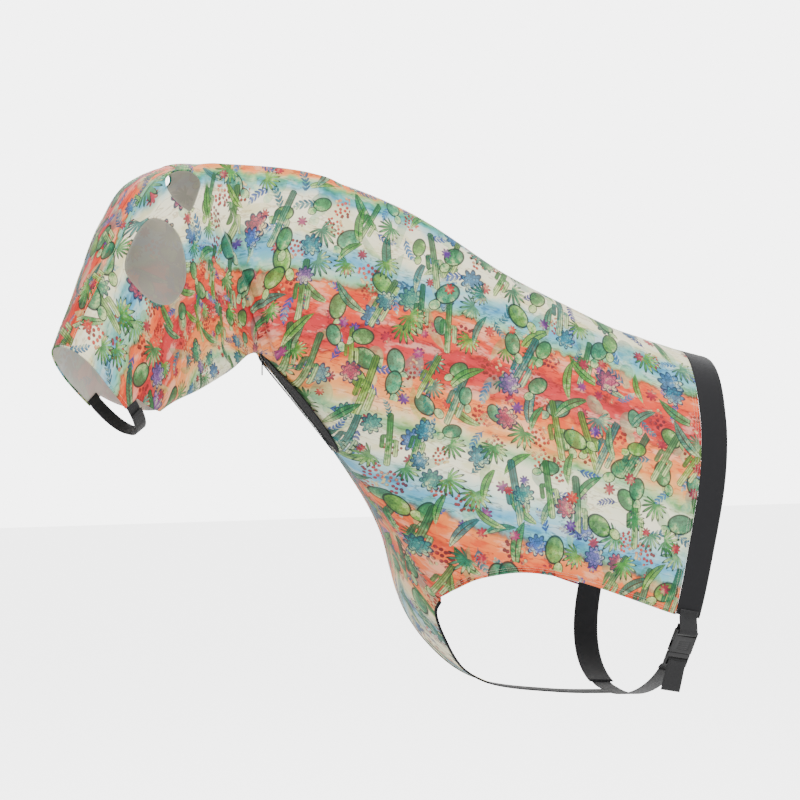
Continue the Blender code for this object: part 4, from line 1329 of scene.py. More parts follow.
# ---------------------------------------------------------------- hems, stitches
class Trim:
    """The narrow bindings and hems along the cloth's edges."""

    def __init__(self, wardrobe: Wardrobe) -> None:
        """Keep the materials."""
        self.wardrobe = wardrobe

    def edge(self, name: str, path: list, width: float, flip: bool, closed: bool,
             node: str, finish: str = "printed knit", slot: str = "binding") -> None:
        """Fold one hem over an edge of the cloth, in the cloth's own print unless told otherwise.

        Args:
            name: The piece's name.
            path: The edge's (s, w) points.
            width: The binding's width.
            flip: Whether the cloth lies on the other hand of the path.
            closed: Whether the edge is a ring.
            node: The CAD node that it stands for.
            finish: Its material.
            slot: Not used.
        """
        here, side, up = flow(path, closed)
        if flip:
            side = -side
        t = 0.0014
        low, high = -0.0014, width - 0.0014
        section = [(low, -0.0004), (low + 0.0006, 0.0012), (low + 0.0016, t + 0.0006),
                   (high - 0.0006, t + 0.0006), (high, t), (high, -0.0002), (high - 0.0006, -0.0010),
                   (low + 0.0012, -0.0010)]
        section = [(-a, n) for a, n in section]
        pts = np.array(path)
        printed = np.repeat(PRINT.uv(pts[:, 0], pts[:, 1])[:, None], len(section), 1)
        uvs = printed if finish == "printed knit" else None
        ob = tube(name, here, side, up, section, [self.wardrobe[finish]], closed, uvs)
        settle(ob, "root", slot, node)

    def facing(self, name: str, path: list, flip: bool) -> None:
        """Lay the black facing over the cloth beside the zip.

        Args:
            name: The piece's name.
            path: The cloth's edge beside the zip.
            flip: Whether the cloth lies on the other hand of the path.
        """
        here, side, up = flow(path)
        if flip:
            side = -side
        t = np.linspace(0, 1, len(path))[:, None]
        wide = 0.25 + 0.75 * np.sin(math.pi * t) ** 0.6
        section = flat_section(0.0, 0.0380, 0.0012, 0.0021, 8)
        ob = tube(name, here - side * 0.002, side * wide, up, section, [self.wardrobe["black binding"]])
        settle(ob, "root", "binding")

    def build(self) -> None:
        """Build every binding."""
        for side, name in ((Side.LEFT, "left"), (Side.RIGHT, "right")):
            flip = side is Side.LEFT
            for part, shape in (("eye", EYE), ("ear", EAR)):
                path = on_side(smooth(shape, 0.006, True), side)
                self.edge(f"{name}_{part}_edge", path, 0.0034, not flip, True, f"{name}_{part}_binding")
            leg = smooth(LEG_ARCH, 0.008)
            self.edge(name + "_leg_edge", on_side(leg, side), 0.0034, not flip, False, name + "_leg_hem")
            gusset = smooth(GUSSET_LEG, 0.008)
            self.edge(name + "_gusset_edge", on_side(gusset, side), 0.0060, flip, False,
                      name + "_gusset_binding", "black binding")
            beside = sorted(smooth(ZIP_EDGE, 0.008))
            self.facing(name + "_zip_facing", on_side(beside[len(beside) // 9:], side), flip)
        nose = smooth(NOSE_EDGE, 0.008)
        path = [(s, -w) for s, w in reversed(nose)] + [(0.05, -0.07), (0.05, -0.035), (0.05, 0.0),
                                                       (0.05, 0.035), (0.05, 0.07)] + list(nose)
        self.edge("nose_edge", path, 0.0036, True, False, "nose_hem")


class StitchTree:
    """A Geometry Nodes tree that sews stitches along wire paths."""

    def __init__(self) -> None:
        """Build the tree: Geometry, Pitch, Length, Radius and Material in; a mesh out."""
        tree = bpy.data.node_groups.new("stitch row", "GeometryNodeTree")
        self.tree = tree
        face = tree.interface
        face.new_socket("Geometry", in_out="INPUT", socket_type="NodeSocketGeometry")
        self.ids = {}
        for name, value in (("Pitch", 0.0034), ("Length", 0.0027), ("Radius", 0.00038)):
            socket = face.new_socket(name, in_out="INPUT", socket_type="NodeSocketFloat")
            socket.default_value = value
            self.ids[name] = socket.identifier
        self.ids["Material"] = face.new_socket("Material", in_out="INPUT",
                                               socket_type="NodeSocketMaterial").identifier
        face.new_socket("Geometry", in_out="OUTPUT", socket_type="NodeSocketGeometry")
        g = Graph(tree)
        start, end = g.node("NodeGroupInput"), g.node("NodeGroupOutput")
        curve = g.node("GeometryNodeMeshToCurve")
        g.feed(curve.inputs[0], start.outputs["Geometry"])
        evenly = g.node("GeometryNodeResampleCurve", mode="LENGTH")
        g.feed(evenly.inputs["Curve"], curve.outputs[0])
        g.feed(evenly.inputs["Length"], start.outputs["Pitch"])
        bead = g.node("GeometryNodeMeshUVSphere")
        bead.inputs["Segments"].default_value = 6
        bead.inputs["Rings"].default_value = 4
        bead.inputs["Radius"].default_value = 1.0
        lie = g.node("GeometryNodeTransform")
        g.feed(lie.inputs["Geometry"], bead.outputs["Mesh"])
        lie.inputs["Rotation"].default_value = (0, math.pi / 2, 0)
        shape = g.node("GeometryNodeTransform")
        g.feed(shape.inputs["Geometry"], lie.outputs[0])
        half = g.mul(start.outputs["Length"], 0.5)
        g.feed(shape.inputs["Scale"], g.join(half, start.outputs["Radius"], start.outputs["Radius"]))
        tangent = g.node("GeometryNodeInputTangent")
        up = g.node("GeometryNodeInputNamedAttribute", data_type="FLOAT_VECTOR")
        up.inputs["Name"].default_value = "up"
        along = g.node("FunctionNodeAlignRotationToVector", axis="X")
        g.feed(along.inputs["Vector"], tangent.outputs[0])
        stand = g.node("FunctionNodeAlignRotationToVector", axis="Z", pivot_axis="X")
        g.feed(stand.inputs["Rotation"], along.outputs[0])
        g.feed(stand.inputs["Vector"], up.outputs["Attribute"])
        sow = g.node("GeometryNodeInstanceOnPoints")
        g.feed(sow.inputs["Points"], evenly.outputs[0])
        g.feed(sow.inputs["Instance"], shape.outputs[0])
        g.feed(sow.inputs["Rotation"], stand.outputs[0])
        real = g.node("GeometryNodeRealizeInstances")
        g.feed(real.inputs[0], sow.outputs[0])
        smooth_ = g.node("GeometryNodeSetShadeSmooth")
        g.feed(smooth_.inputs[0], real.outputs[0])
        finish = g.node("GeometryNodeSetMaterial")
        g.feed(finish.inputs[0], smooth_.outputs[0])
        g.feed(finish.inputs["Material"], start.outputs["Material"])
        g.feed(end.inputs[0], finish.outputs[0])

    def sew(self, name: str, rows: list, mat: bpy.types.Material, pitch: float = 0.0034,
            length: float = 0.0027, radius: float = 0.00038) -> bpy.types.Object:
        """Sew every row as one mesh.

        Args:
            name: The piece's name.
            rows: Each row's (points, ups), in the row frame.
            mat: The thread's material.
            pitch: The distance from stitch to stitch.
            length: A stitch's length.
            radius: A stitch's radius.

        Returns:
            The piece.
        """
        points, ups, lines = [], [], []
        for pts, normals in rows:
            start = len(points)
            points += [tuple(map(float, p)) for p in pts]
            ups += [tuple(map(float, n)) for n in normals]
            lines += [(start + k, start + k + 1) for k in range(len(pts) - 1)]
        mesh = bpy.data.meshes.new(name)
        mesh.from_pydata(points, lines, [])
        attribute = mesh.attributes.new("up", "FLOAT_VECTOR", "POINT")
        attribute.data.foreach_set("vector", np.array(ups, np.float32).ravel())
        ob = new_piece(name, mesh, [])
        mod = ob.modifiers.new("stitches", "NODES")
        mod.node_group = self.tree
        for key, value in (("Pitch", pitch), ("Length", length), ("Radius", radius), ("Material", mat)):
            mod[self.ids[key]] = value
        applied(ob)
        return ob


class Maker:
    """A maker of pieces, with the materials and the stitching that it works with."""

    def __init__(self, wardrobe: Wardrobe, stitcher: StitchTree) -> None:
        """Keep the materials and the stitching tree."""
        self.wardrobe = wardrobe
        self.stitcher = stitcher


class Sewing(Maker):
    """The visible rows of thread."""

    def __init__(self, wardrobe: Wardrobe, stitcher: StitchTree) -> None:
        """Keep the materials, the tree and the drape."""
        super().__init__(wardrobe, stitcher)
        self.drape = Drape()
        self.rows: list = []

    def beside(self, path: list, away: float, lift: float = 0.0014, closed: bool = False) -> None:
        """Add a row of stitches beside a path.

        Args:
            path: The (s, w) points.
            away: How far beside it the row runs.
            lift: The row's height over the form.
            closed: Whether the path is a ring.
        """
        here, side, up = flow(path, closed)
        pts = np.array(path)
        rise = self.drape.height(pts[:, 0], pts[:, 1])[:, None]
        line = here + side * away + up * (lift + rise)
        if closed:
            line, up = np.vstack([line, line[:1]]), np.vstack([up, up[:1]])
        self.rows.append((line, up))

    def build(self) -> None:
        """Sew the rows along the seams and hems."""
        for side in Side:
            sign = side.value
            for shape in (EYE, EAR):
                path = on_side(smooth(shape, 0.006, True), side)
                self.beside(path, -0.0042 * sign, 0.0012, True)
            leg = on_side(smooth(LEG_ARCH, 0.008), side)
            for away in (0.0045, 0.0085):
                self.beside(leg, away * sign)
            face = on_side(smooth(FACE_SEAM, 0.01), side)
            crest = [(5.0 + k * 0.1, 0.0001 * sign) for k in range(74)]
            self.beside(face, 0.003 * sign)
            self.beside(crest, 0.0032 * sign, 0.0013)
            gusset = on_side(smooth(GUSSET_SEAM, 0.01), side)
            self.beside(gusset, -0.0035 * sign)
            edge = girth_path(sign * 0.646, sign * 0.004, 90)
            for away in (0.005, 0.010):
                self.beside(edge, away * sign, 0.0016)
        nose = smooth(NOSE_EDGE, 0.008)
        path = [(s, -w) for s, w in reversed(nose)] + [(0.05, 0.0)] + list(nose)
        self.beside(path, 0.0052)
        ob = self.stitcher.sew("sewn_rows", self.rows, self.wardrobe["pale thread"], 0.0031, 0.0023, 0.00030)
        settle(ob, "root", "binding")


# ---------------------------------------------------------------- girth
def strap_lift(w: float) -> float:
    """The belly strap's height: over the band's end, then on the belly."""
    over = min(max((0.965 - w) / 0.02, 0.0), 1.0)
    up = min(max((w - 1.114) / 0.10, 0.0), 1.0)
    return 0.0010 + 0.0016 * over + 0.0012 * up * up


class Girth(Maker):
    """The elastic girth band, the belly strap and the strip between the forelegs."""

    def band(self, name: str, path: list, start: float, width: float, thickness: float, flip: bool,
             node: str, finish: str, slot: str, lift: object = 0.0) -> tuple:
        """Lay one band beside a path on the form.

        Args:
            name: The piece's name.
            path: The (s, w) points.
            start: Where its first edge is, beside the path.
            width: Its width.
            thickness: Its thickness.
            flip: Whether it lies on the other hand.
            node: The CAD node that it stands for.
            finish: Its material.
            slot: Not used.
            lift: Its height over the form, or one height for each point.

        Returns:
            The path's points, side directions and normals.
        """
        here, side, up = flow(path)
        if flip:
            side = -side
        here = here + up * np.broadcast_to(np.asarray(lift, float).reshape(-1, 1), (len(path), 1))
        section = flat_section(start, width, thickness, 0.0, 12)
        ob = tube(name, here, side, up, section, [self.wardrobe[finish]])
        settle(ob, "root", slot, node)
        return here, side, up

    def build(self) -> None:
        """Build the bands and the strap, with the stitching at the strap's end."""
        elastic = ("black elastic", "elastic")
        for name, path, flip, node in (
                ("near_elastic", girth_path(-0.6476, 0.0008, 80), False, "girth_band_left"),
                ("off_elastic", girth_path(0.93, -0.0008, 110), True, "girth_band_right")):
            self.band(name, path, 0.0003, BAND_WIDTH, ELASTIC, flip, node, *elastic)
        path = girth_path(0.905, 1.2212, 60)
        margin = GAP + (BAND_WIDTH - STRAP_WIDTH) / 2
        lift = np.array([strap_lift(w) for _, w in path])
        here, side, up = self.band("belly_webbing", path, margin, STRAP_WIDTH, STRAP, False, "belly_strap",
                                   "black webbing", "webbing", lift)
        path = [(s, 1.0) for s in np.linspace(GUSSET_LEG[-1][0], 13.758, 31)]
        self.band("divider", path, -DIVIDER_WIDTH / 2, DIVIDER_WIDTH, ELASTIC, False, "leg_divider_elastic",
                  *elastic)
        rows = []
        for away in (0.003, STRAP_WIDTH - 0.003):
            rows.append((here[:8] + side[:8] * (margin + away) + up[:8] * 0.0010, up[:8]))
        for k in (1, 7):
            wide = np.linspace(0.003, STRAP_WIDTH - 0.003, 12)[:, None]
            line = here[k] + side[k] * (margin + wide) + up[k] * 0.0010
            rows.append((line, np.repeat(up[k][None], 12, 0)))
        ob = self.stitcher.sew("strap_thread", rows, self.wardrobe["thread"])
        settle(ob, "root", "webbing")


# ---------------------------------------------------------------- buckle
def local_frame(origin: tuple, x: tuple, y: tuple, z: tuple) -> Matrix:
    """A frame from its origin and its three axes."""
    matrix = Matrix((x, y, z)).transposed().to_4x4()
    matrix.translation = origin
    return matrix


# The buckle's frame: X across the strap, Y down it to the plug, Z off the horse.
BUCKLE = local_frame((-0.12511, -0.24185, -0.5088), (-0.97676, -0.08793, 0.19548),
                     (-0.21356, 0.32156, -0.92249), (0.01826, -0.9428, -0.33287))
# The zip's frame: X across, Y down it to the breast, Z off the throat.
ZIP = local_frame((-0.85789, 0.0, 0.00414), (0.0, 1.0, 0.0), (0.61777, 0.0, -0.78636),
                  (-0.78636, 0.0, -0.61777))
ZIP_LENGTH = 0.21283


def placed(matrix: Matrix, x: float, y: np.ndarray, z: float | np.ndarray) -> tuple:
    """A row of points moved from a frame to the row frame, with the frame's X and Z axis at each."""
    turn = np.array(matrix.to_3x3())
    here = np.stack([np.full(len(y), x), y, np.broadcast_to(z, len(y))], 1) @ turn.T
    side, up = (np.repeat(turn[:, k][None], len(y), 0) for k in (0, 2))
    return here + np.array(matrix.translation), side, up


class Shop:
    """Hard pieces: blocks with cuts and rounded edges, made in a local frame."""

    @staticmethod
    def block(low: tuple, high: tuple, bevel: float = 0.0, segments: int = 3) -> bpy.types.Object:
        """A block between two corners, its edges rounded."""
        bm = bmesh.new()
        bmesh.ops.create_cube(bm, size=1.0)
        bmesh.ops.scale(bm, vec=[h - l for l, h in zip(low, high)], verts=bm.verts)
        bmesh.ops.translate(bm, vec=[(l + h) / 2 for l, h in zip(low, high)], verts=bm.verts)
        if bevel:
            bmesh.ops.bevel(bm, geom=bm.edges[:], offset=bevel, segments=segments, profile=0.5,
                            affect="EDGES")
        mesh = bpy.data.meshes.new("block")
        bm.to_mesh(mesh)
        bm.free()
        return new_piece("block", mesh, [])

    @staticmethod
    def combine(ob: bpy.types.Object, tools: list, operation: str) -> None:
        """Add tools to a block, or cut them out of it, and remove them."""
        for tool in tools:
            mod = ob.modifiers.new("combine", "BOOLEAN")
            mod.operation = operation
            mod.object = tool
            mod.solver = "EXACT"
        applied(ob)
        for tool in tools:
            mesh = tool.data
            bpy.data.objects.remove(tool)
            bpy.data.meshes.remove(mesh)

    @staticmethod
    def finish(ob: bpy.types.Object, name: str, matrix: Matrix, mat: bpy.types.Material,
               bevel: float = 0.0, segments: int = 2) -> bpy.types.Object:
        """Round the cut edges, move the piece into place and give it its material."""
        if bevel:
            mod = ob.modifiers.new("round", "BEVEL")
            mod.width = bevel
            mod.segments = segments
            mod.limit_method = "ANGLE"
            mod.angle_limit = math.radians(40)
            applied(ob)
        ob.name = name
        ob.data.name = name
        ob.data.transform(matrix)
        ob.data.materials.clear()
        ob.data.materials.append(mat)
        ob.data.shade_smooth()
        ob.data.set_sharp_from_angle(angle=math.radians(35))
        return ob


class Webbing:
    """Webbing that runs along a curve in a local frame, in its Y-Z plane."""

    def __init__(self, wardrobe: Wardrobe) -> None:
        """Keep the materials."""
        self.wardrobe = wardrobe

    def lay(self, name: str, points: tuple, width: float, matrix: Matrix,
            flare: float = 0.0) -> tuple[bpy.types.Object, np.ndarray]:
        """Lay a strap through (a, n) points.

        Args:
            name: The piece's name.
            points: The curve's points: along the frame's Y and out along its Z.
            width: The strap's width.
            matrix: The frame.
            flare: How much wider it is at its far end.

        Returns:
            The piece, and the curve's points in the row frame.
        """
        pts = np.array(points, float)
        run = np.concatenate([[0], np.cumsum(np.linalg.norm(np.diff(pts, axis=0), axis=1))])
        s = np.linspace(0, len(pts) - 1, max(24, int(run[-1] / 0.0018)))
        curve = catmull(pts, s)
        flow_ = np.gradient(curve, axis=0)
        flow_ /= np.linalg.norm(flow_, axis=1, keepdims=True)
        here, side, out = placed(matrix, 0.0, curve[:, 0], curve[:, 1])
        up = flow_[:, :1] * out - flow_[:, 1:] * np.array(matrix.to_3x3())[:, 1]
        wide = 1 + flare / width * np.linspace(0, 1, len(curve))
        section = flat_section(-width / 2, width, STRAP - 0.0001, 0.0, 8)
        ob = tube(name, here, side * wide[:, None], up, section, [self.wardrobe["black webbing"]])
        return ob, np.concatenate([here[None], up[None]])


class Buckle(Maker):
    """The side-release buckle: socket, plug with sprung prongs, and the webbing through both."""

    width = 0.046
    socket = 0.032
    half = 0.0055

    def __init__(self, wardrobe: Wardrobe, stitcher: StitchTree) -> None:
        """Keep the materials, the tree and the webbing."""
        super().__init__(wardrobe, stitcher)
        self.webbing = Webbing(wardrobe)

    @staticmethod
    def on_body(a: float, n: float) -> tuple[float, float]:
        """A point of the strap, n over the horse's rounded side."""
        radius = 0.135 if a > 0.022 else 0.25
        return a, n - 0.0098 - (a - 0.022) ** 2 / (2 * radius)

    def build_socket(self) -> None:
        """The socket: a rounded box with an open mouth, side windows, a bar and a raised rim."""
        w, t, length = self.width / 2, self.half, self.socket
        plastic = self.wardrobe["moulded plastic"]
        ob = Shop.block((-w, -0.013, -t), (w, length, t), 0.0017, 4)
        Shop.combine(ob, [
            Shop.block((-w + 0.0028, 0.0015, -t + 0.0022), (w - 0.0028, length + 0.01, t - 0.0022),
                       0.0006, 2),
            Shop.block((-0.0198, -0.0085, -0.02), (0.0198, -0.002, 0.02), 0.0006, 2),
            Shop.block((-w - 0.01, 0.009, -t + 0.0022), (w + 0.01, 0.023, t - 0.0022), 0.0008, 2),
            Shop.block((-0.0125, 0.0062, t - 0.0006), (0.0125, 0.0245, t + 0.01), 0.0005, 2),
        ], "DIFFERENCE")
        ribs = [Shop.block((-0.0090, 0.0088 + 0.0042 * k, t - 0.0012),
                           (0.0090, 0.0104 + 0.0042 * k, t - 0.0001), 0.0003, 2) for k in range(4)]
        Shop.combine(ob, ribs, "UNION")
        settle(Shop.finish(ob, "socket_shell", BUCKLE, plastic, 0.00035), "root", "buckle_plastic",
               "buckle_socket")

    def build_plug(self) -> None:
        """The plug: its frame with two slots, the tongue, and the two prongs with thumb grips."""
        w, base = self.width / 2, self.socket + 0.0006
        plastic = self.wardrobe["moulded plastic"]
        ob = Shop.block((-w, base, -0.004), (w, base + 0.026, 0.004), 0.0013, 3)
        Shop.combine(ob, [Shop.block((-0.004, 0.006, -0.0022), (0.004, base + 0.002, 0.0022), 0.0006, 2),
                          Shop.block((-w + 0.001, base + 0.0235, -0.0046), (w - 0.001, base + 0.0258, 0.0046),
                                     0.0008, 2)], "UNION")
        Shop.combine(ob, [Shop.block((-0.0198, base + start, -0.02), (0.0198, base + start + 0.0055, 0.02),
                                     0.0005, 2) for start in (0.0085, 0.0175)], "DIFFERENCE")
        settle(Shop.finish(ob, "plug_frame", BUCKLE, plastic, 0.0003), "buckle_plug", "buckle_plastic",
               "buckle_plug")
        for name, sign in (("front", 1), ("rear", -1)):
            inner, outer = sorted((sign * 0.0132, sign * 0.0186))
            ob = Shop.block((inner, 0.0092, -0.0023), (outer, base + 0.0010, 0.0023), 0.0007, 3)
            low, high = sorted((sign * 0.0182, sign * 0.0190))
            grip = [Shop.block((low, 0.0105 + 0.0022 * k, -0.0019), (high, 0.0116 + 0.0022 * k, 0.0019),
                               0.0002, 1) for k in range(5)]
            Shop.combine(ob, grip, "UNION")
            settle(Shop.finish(ob, "prong_" + name + "_arm", BUCKLE, plastic), "prong_" + name,
                   "buckle_plastic", "buckle_prong_" + name)

    def build_webbing(self) -> None:
        """The webbing round the socket's bar, and the strap through the plug with its hanging tail."""
        base = self.socket + 0.0006
        loop = (self.on_body(-0.046, 0.0040), self.on_body(-0.034, 0.0036), (-0.0225, -0.0010),
                (-0.0165, 0.0052), (-0.0125, 0.0070), (-0.0070, 0.0066), (-0.0050, 0.0),
                (-0.0070, -0.0066), (-0.0125, -0.0070), (-0.0210, -0.0072))
        ob, ends = self.webbing.lay("socket_loop", loop, STRAP_WIDTH, BUCKLE)
        settle(ob, "root", "webbing", "socket_webbing_loop")
        across = np.array(BUCKLE.to_3x3())[:, 0]
        rows = []
        for k in (1, 5):
            wide = np.linspace(-0.016, 0.016, 12)[:, None]
            row = ends[0][k] + ends[1][k] * 0.0010 + across * wide
            rows.append((row, np.repeat(ends[1][k][None], 12, 0)))
        for sign in (-1, 1):
            rows.append((ends[0][1:6] + ends[1][1:6] * 0.0010 + across * 0.016 * sign, ends[1][1:6]))
        settle(self.stitcher.sew("loop_thread", rows, self.wardrobe["thread"]), "root", "webbing")
        start = base + 0.0145
        loop = (self.on_body(start + 0.030, 0.0022), self.on_body(start + 0.022, 0.0022),
                (start + 0.012, -0.0072), (start - 0.0005, -0.0062), (start - 0.0030, 0.0),
                (start - 0.0005, 0.0062))
        ob, _ = self.webbing.lay("plug_loop", loop, STRAP_WIDTH, BUCKLE)
        settle(ob, "buckle_plug", "webbing", "plug_webbing_loop")
        tail = ((start + 0.0002, 0.0062), (start + 0.014, 0.0078), (start + 0.032, 0.0125),
                (start + 0.056, 0.0185))
        ob, _ = self.webbing.lay("tail", tail, STRAP_WIDTH, BUCKLE, 0.0024)
        settle(ob, "buckle_plug", "webbing", "strap_tail")

    def build(self) -> None:
        """Build the whole buckle."""
        self.build_socket()
        self.build_plug()
        self.build_webbing()


# ---------------------------------------------------------------- throat zip
class ThroatZip(Maker):
    """The coil zip under the throat, with its slider and pull tab."""

    def build_guard(self) -> None:
        """The guard strip behind the zip, a little longer than it."""
        here, side, up = placed(ZIP, 0.0, np.linspace(-0.012, ZIP_LENGTH + 0.016, 40), -0.0105)
        section = flat_section(-0.023, 0.046, 0.0009, 0.0045, 10)
        ob = tube("zip_guard", here, side, up, section, [self.wardrobe["black binding"]])
        settle(ob, "root", "binding")

    def build_side(self, name: str, sign: int) -> None:
        """One side's tape, row of teeth and top stop."""
        low, high = sorted((sign * 0.0023, sign * 0.0115))
        here, side, up = placed(ZIP, 0.0, np.linspace(-0.004, ZIP_LENGTH, 60), 0.0)
        ob = tube("tape_" + name, here, side, up, flat_section(low, high - low, 0.0011, 0.0, 3),
                  [self.wardrobe["zip tape"]])
        settle(ob, "root", "zip_tape", "zipper_tape_" + name)
        line, side, _ = placed(ZIP, sign * 0.00115, np.linspace(0.0085, ZIP_LENGTH - 0.006, 40), 0.0001)
        ob = self.stitcher.sew("coil_" + name, [(line, side)], self.wardrobe["coil nylon"],
                               0.00145, 0.0012, 0.00105)
        settle(ob, "root", "zip_teeth", "zipper_teeth_" + name)
        low, high = sorted((sign * 0.0010, sign * 0.0024))
        ob = Shop.block((low, -0.0035, -0.0016), (high, -0.0005, 0.0016), 0.0003, 2)
        settle(Shop.finish(ob, "stop_" + name, ZIP, self.wardrobe["lacquered metal"]), "root", "zip_metal",
               "zipper_top_stop_" + name)

    def build_slider(self) -> None:
        """The bottom stop and the slider: two plates, the post between them and the bail on top."""
        metal = self.wardrobe["lacquered metal"]
        ob = Shop.block((-0.0024, ZIP_LENGTH - 0.0055, -0.0018), (0.0024, ZIP_LENGTH - 0.0015, 0.0018),
                        0.0004, 2)
        settle(Shop.finish(ob, "stop_bottom", ZIP, metal), "root", "zip_metal", "zipper_bottom_stop")
        ob = Shop.block((-0.0052, 0.0002, 0.0016), (0.0052, 0.0112, 0.0032), 0.0004, 2)
        Shop.combine(ob, [Shop.block((-0.0052, 0.0002, -0.0032), (0.0052, 0.0112, -0.0016), 0.0004, 2),
                          Shop.block((-0.0011, 0.0004, -0.0020), (0.0011, 0.0052, 0.0020)),
                          Shop.block((-0.0012, 0.0015, 0.0030), (0.0012, 0.0097, 0.0078), 0.0004, 2)],
                     "UNION")
        Shop.combine(ob, [Shop.block((-0.01, 0.0030, 0.0034), (0.01, 0.0082, 0.0066))], "DIFFERENCE")
        settle(Shop.finish(ob, "slider", ZIP, metal, 0.0002), "zip_slider", "zip_metal", "zipper_slider")

    def build_tab(self) -> None:
        """The pull tab, hanging straight down from the slider's bail."""
        pivot = ZIP @ Matrix.Translation((0, 0.0062, 0.0050)) @ Matrix.Rotation(
            math.atan2(-ZIP.col[2].z, -ZIP.col[1].z), 4, "X")
        ob = Shop.block((-0.0032, -0.0012, -0.0006), (0.0032, 0.0268, 0.0006), 0.00035, 2)
        Shop.combine(ob, [Shop.block((-0.0018, 0.0012, -0.01), (0.0018, 0.0050, 0.01)),
                          Shop.block((-0.0016, 0.0180, -0.01), (0.0016, 0.0230, 0.01))], "DIFFERENCE")
        settle(Shop.finish(ob, "pull_tab", pivot, self.wardrobe["lacquered metal"], 0.0001, 1), "zip_tab",
               "zip_metal", "zipper_pull_tab")

    def build(self) -> None:
        """Build the guard, both sides, the slider and the tab."""
        self.build_guard()
        for name, sign in (("left", -1), ("right", 1)):
            self.build_side(name, sign)
        self.build_slider()
        self.build_tab()


# ---------------------------------------------------------------- chin strap
class ChinStrap(Maker):
    """The webbing under the chin, closed with hook and loop tape."""

    def strip(self, name: str, start: float, end: float, lift: float, thickness: float, finish: str,
              slot: str, node: str, body: str = "root", rise: float = 0.0, sink: float = 0.0) -> tuple:
        """Lay one strip of the strap from w = start to w = end.

        Args:
            name: The piece's name.
            start: Its first w.
            end: Its last w.
            lift: Its height over the form.
            thickness: Its thickness.
            finish: Its material.
            slot: Not used.
            node: The CAD node that it stands for.
            body: The body that it rides on.
            rise: How far its far end stands over the rest.
            sink: How far its first end lies under the rest.

        Returns:
            The points, side directions and normals along it.
        """
        count = max(12, int(abs(end - start) * 110))
        path = [(0.11, start + (end - start) * k / count) for k in range(count + 1)]
        here, side, up = flow(path)
        if start > end:
            side = -side
        t = np.linspace(0, 1, count + 1)
        share, under = np.clip((t - 0.786) / 0.214, 0, 1), np.clip((0.090 - t) / 0.045, 0, 1)
        here = here + up * (lift + rise * share - sink * under)[:, None]
        ob = tube(name, here, side, up, flat_section(0.0, CHIN_WIDTH, thickness, 0.0, 8),
                  [self.wardrobe[finish]])
        settle(ob, body, slot, node)
        return here, side, up

    def build(self) -> None:
        """Build the strap, its patches, its flap and its thread."""
        lift, patch = 0.0005, 0.0008
        loop = lift + STRAP / 2 + 0.0004 + patch / 2
        hook = loop + patch + 0.0004
        flap = hook + patch / 2 + 0.0004 + STRAP / 2
        web = ("black webbing", "webbing")
        near = self.strip("chin_near", -0.800, -0.600, lift, STRAP - 0.0001, *web, "chin_strap_left",
                          rise=-0.0036)
        self.strip("chin_loops", -0.795, -0.700, loop, patch, "hook tape", "hook_tape", "chin_loop_patch")
        off = self.strip("chin_off", 0.600, 1.100, lift, STRAP - 0.0001, *web, "chin_strap_right",
                         rise=flap - lift, sink=0.0022)
        self.strip("chin_hooks", -0.795, -0.700, hook, patch, "hook tape", "hook_tape", "chin_hook_patch",
                   "chin_flap")
        over = self.strip("chin_flap_strap", -0.892, -0.690, flap, STRAP - 0.0001, *web, "chin_strap_flap",
                          "chin_flap")
        for name, body, (here, side, up), spots in (
                ("chin_thread", "root", near, (0.74,)), ("chin_off_thread", "root", off, (0.10,)),
                ("flap_thread", "chin_flap", over, (0.5, 0.95))):
            rows = []
            for spot in spots:
                k = int(spot * (len(here) - 1))
                wide = np.linspace(0.003, CHIN_WIDTH - 0.003, 10)[:, None]
                rows.append((here[k] + side[k] * wide + up[k] * 0.00095, np.repeat(up[k][None], 10, 0)))
            settle(self.stitcher.sew(name, rows, self.wardrobe["thread"]), body, "webbing")


# ---------------------------------------------------------------- studio
@dataclass(frozen=True)
class Lamp:
    """One soft light."""

    name: str
    place: tuple[float, float, float]
    size: float
    power: float
    colour: tuple[float, float, float] = (1.0, 1.0, 1.0)


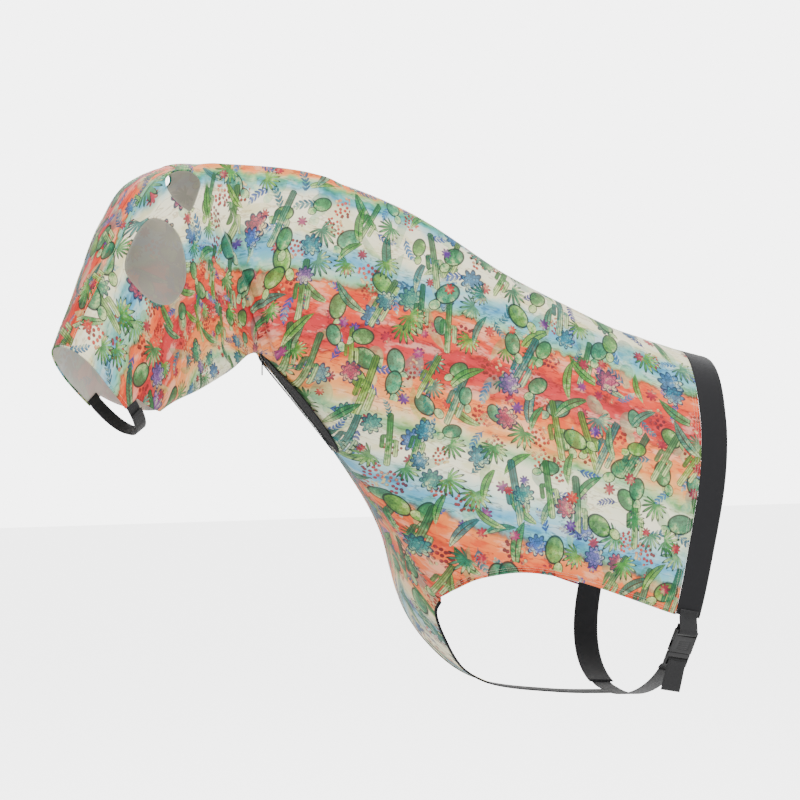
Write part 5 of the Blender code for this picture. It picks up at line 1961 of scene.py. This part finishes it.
class Studio:
    """The floor, the lights and the camera."""

    target = Vector((-0.594, 0.0, -0.08))
    azimuth = math.radians(-18.0)
    elevation = math.radians(3.0)
    distance = 5.0
    lens = 121.5
    floor_level = -1.50
    lamps: tuple[Lamp, ...] = (
        Lamp("key", (-1.9, -3.4, 2.9), 2.6, 200.0, (1.0, 0.985, 0.96)),
        Lamp("fill", (2.4, -3.2, 0.9), 3.0, 76.0, (0.97, 0.985, 1.0)),
        Lamp("back", (-0.4, 3.2, 2.6), 2.6, 110.0),
        Lamp("top", (-0.6, -0.2, 3.4), 3.0, 84.0),
    )

    def build(self) -> None:
        """Build the floor, lamps, world and camera."""
        scene = bpy.context.scene
        bm = bmesh.new()
        bmesh.ops.create_grid(bm, x_segments=1, y_segments=1, size=12.0)
        mesh = bpy.data.meshes.new("floor")
        bm.to_mesh(mesh)
        bm.free()
        mat, g, bsdf = Wardrobe.shader("pale floor")
        bsdf.inputs["Base Color"].default_value = (0.9, 0.9, 0.9, 1)
        bsdf.inputs["Roughness"].default_value = 0.8
        bsdf.inputs["Emission Color"].default_value = (1, 1, 1, 1)
        seen = g.node("ShaderNodeLightPath").outputs["Is Camera Ray"]
        g.feed(bsdf.inputs["Emission Strength"], g.mul(seen, 3.4))
        floor = new_piece("floor", mesh, [mat])
        floor.location.z = self.floor_level
        floor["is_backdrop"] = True
        world = bpy.data.worlds.new("studio")
        world.use_nodes = True
        back = world.node_tree.nodes["Background"]
        back.inputs["Color"].default_value = (1.0, 1.0, 1.0, 1)
        g = Graph(world.node_tree)
        seen = g.node("ShaderNodeLightPath").outputs["Is Camera Ray"]
        g.feed(back.inputs["Strength"], g.mad(seen, 4.6, 0.9))
        scene.world = world
        for lamp in self.lamps:
            light = bpy.data.lights.new(lamp.name, "AREA")
            light.energy, light.size, light.color = lamp.power, lamp.size, lamp.colour
            ob = bpy.data.objects.new(lamp.name, light)
            ob.location = lamp.place
            ob.rotation_euler = (self.target - ob.location).to_track_quat("-Z", "Y").to_euler()
            scene.collection.objects.link(ob)
        level = math.cos(self.elevation)
        away = Vector((math.sin(self.azimuth) * level, -math.cos(self.azimuth) * level,
                       math.sin(self.elevation)))
        data = bpy.data.cameras.new("camera")
        data.sensor_width = 36.0
        data.lens = self.lens
        camera = bpy.data.objects.new("camera", data)
        camera.location = self.target + away * self.distance
        camera.rotation_euler = (-away).to_track_quat("-Z", "Y").to_euler()
        scene.collection.objects.link(camera)
        scene.camera = camera


def log_bounds(name: str) -> list:
    low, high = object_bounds()
    LOG.info("%s: %s to %s", name, tuple(round(v, 4) for v in low), tuple(round(v, 4) for v in high))
    return [[float(v) for v in low], [float(v) for v in high]]


def main() -> None:
    """Build everything in order."""
    logging.basicConfig(level=logging.INFO, format="%(name)s %(message)s")
    before = log_bounds("at load")
    wardrobe = Wardrobe()
    stitcher = StitchTree()
    Cloth(wardrobe).build()
    Trim(wardrobe).build()
    Sewing(wardrobe, stitcher).build()
    Girth(wardrobe, stitcher).build()
    Buckle(wardrobe, stitcher).build()
    ThroatZip(wardrobe, stitcher).build()
    ChinStrap(wardrobe, stitcher).build()
    Studio().build()
    after = log_bounds("before finish")


if __name__ == "__main__":
    main()
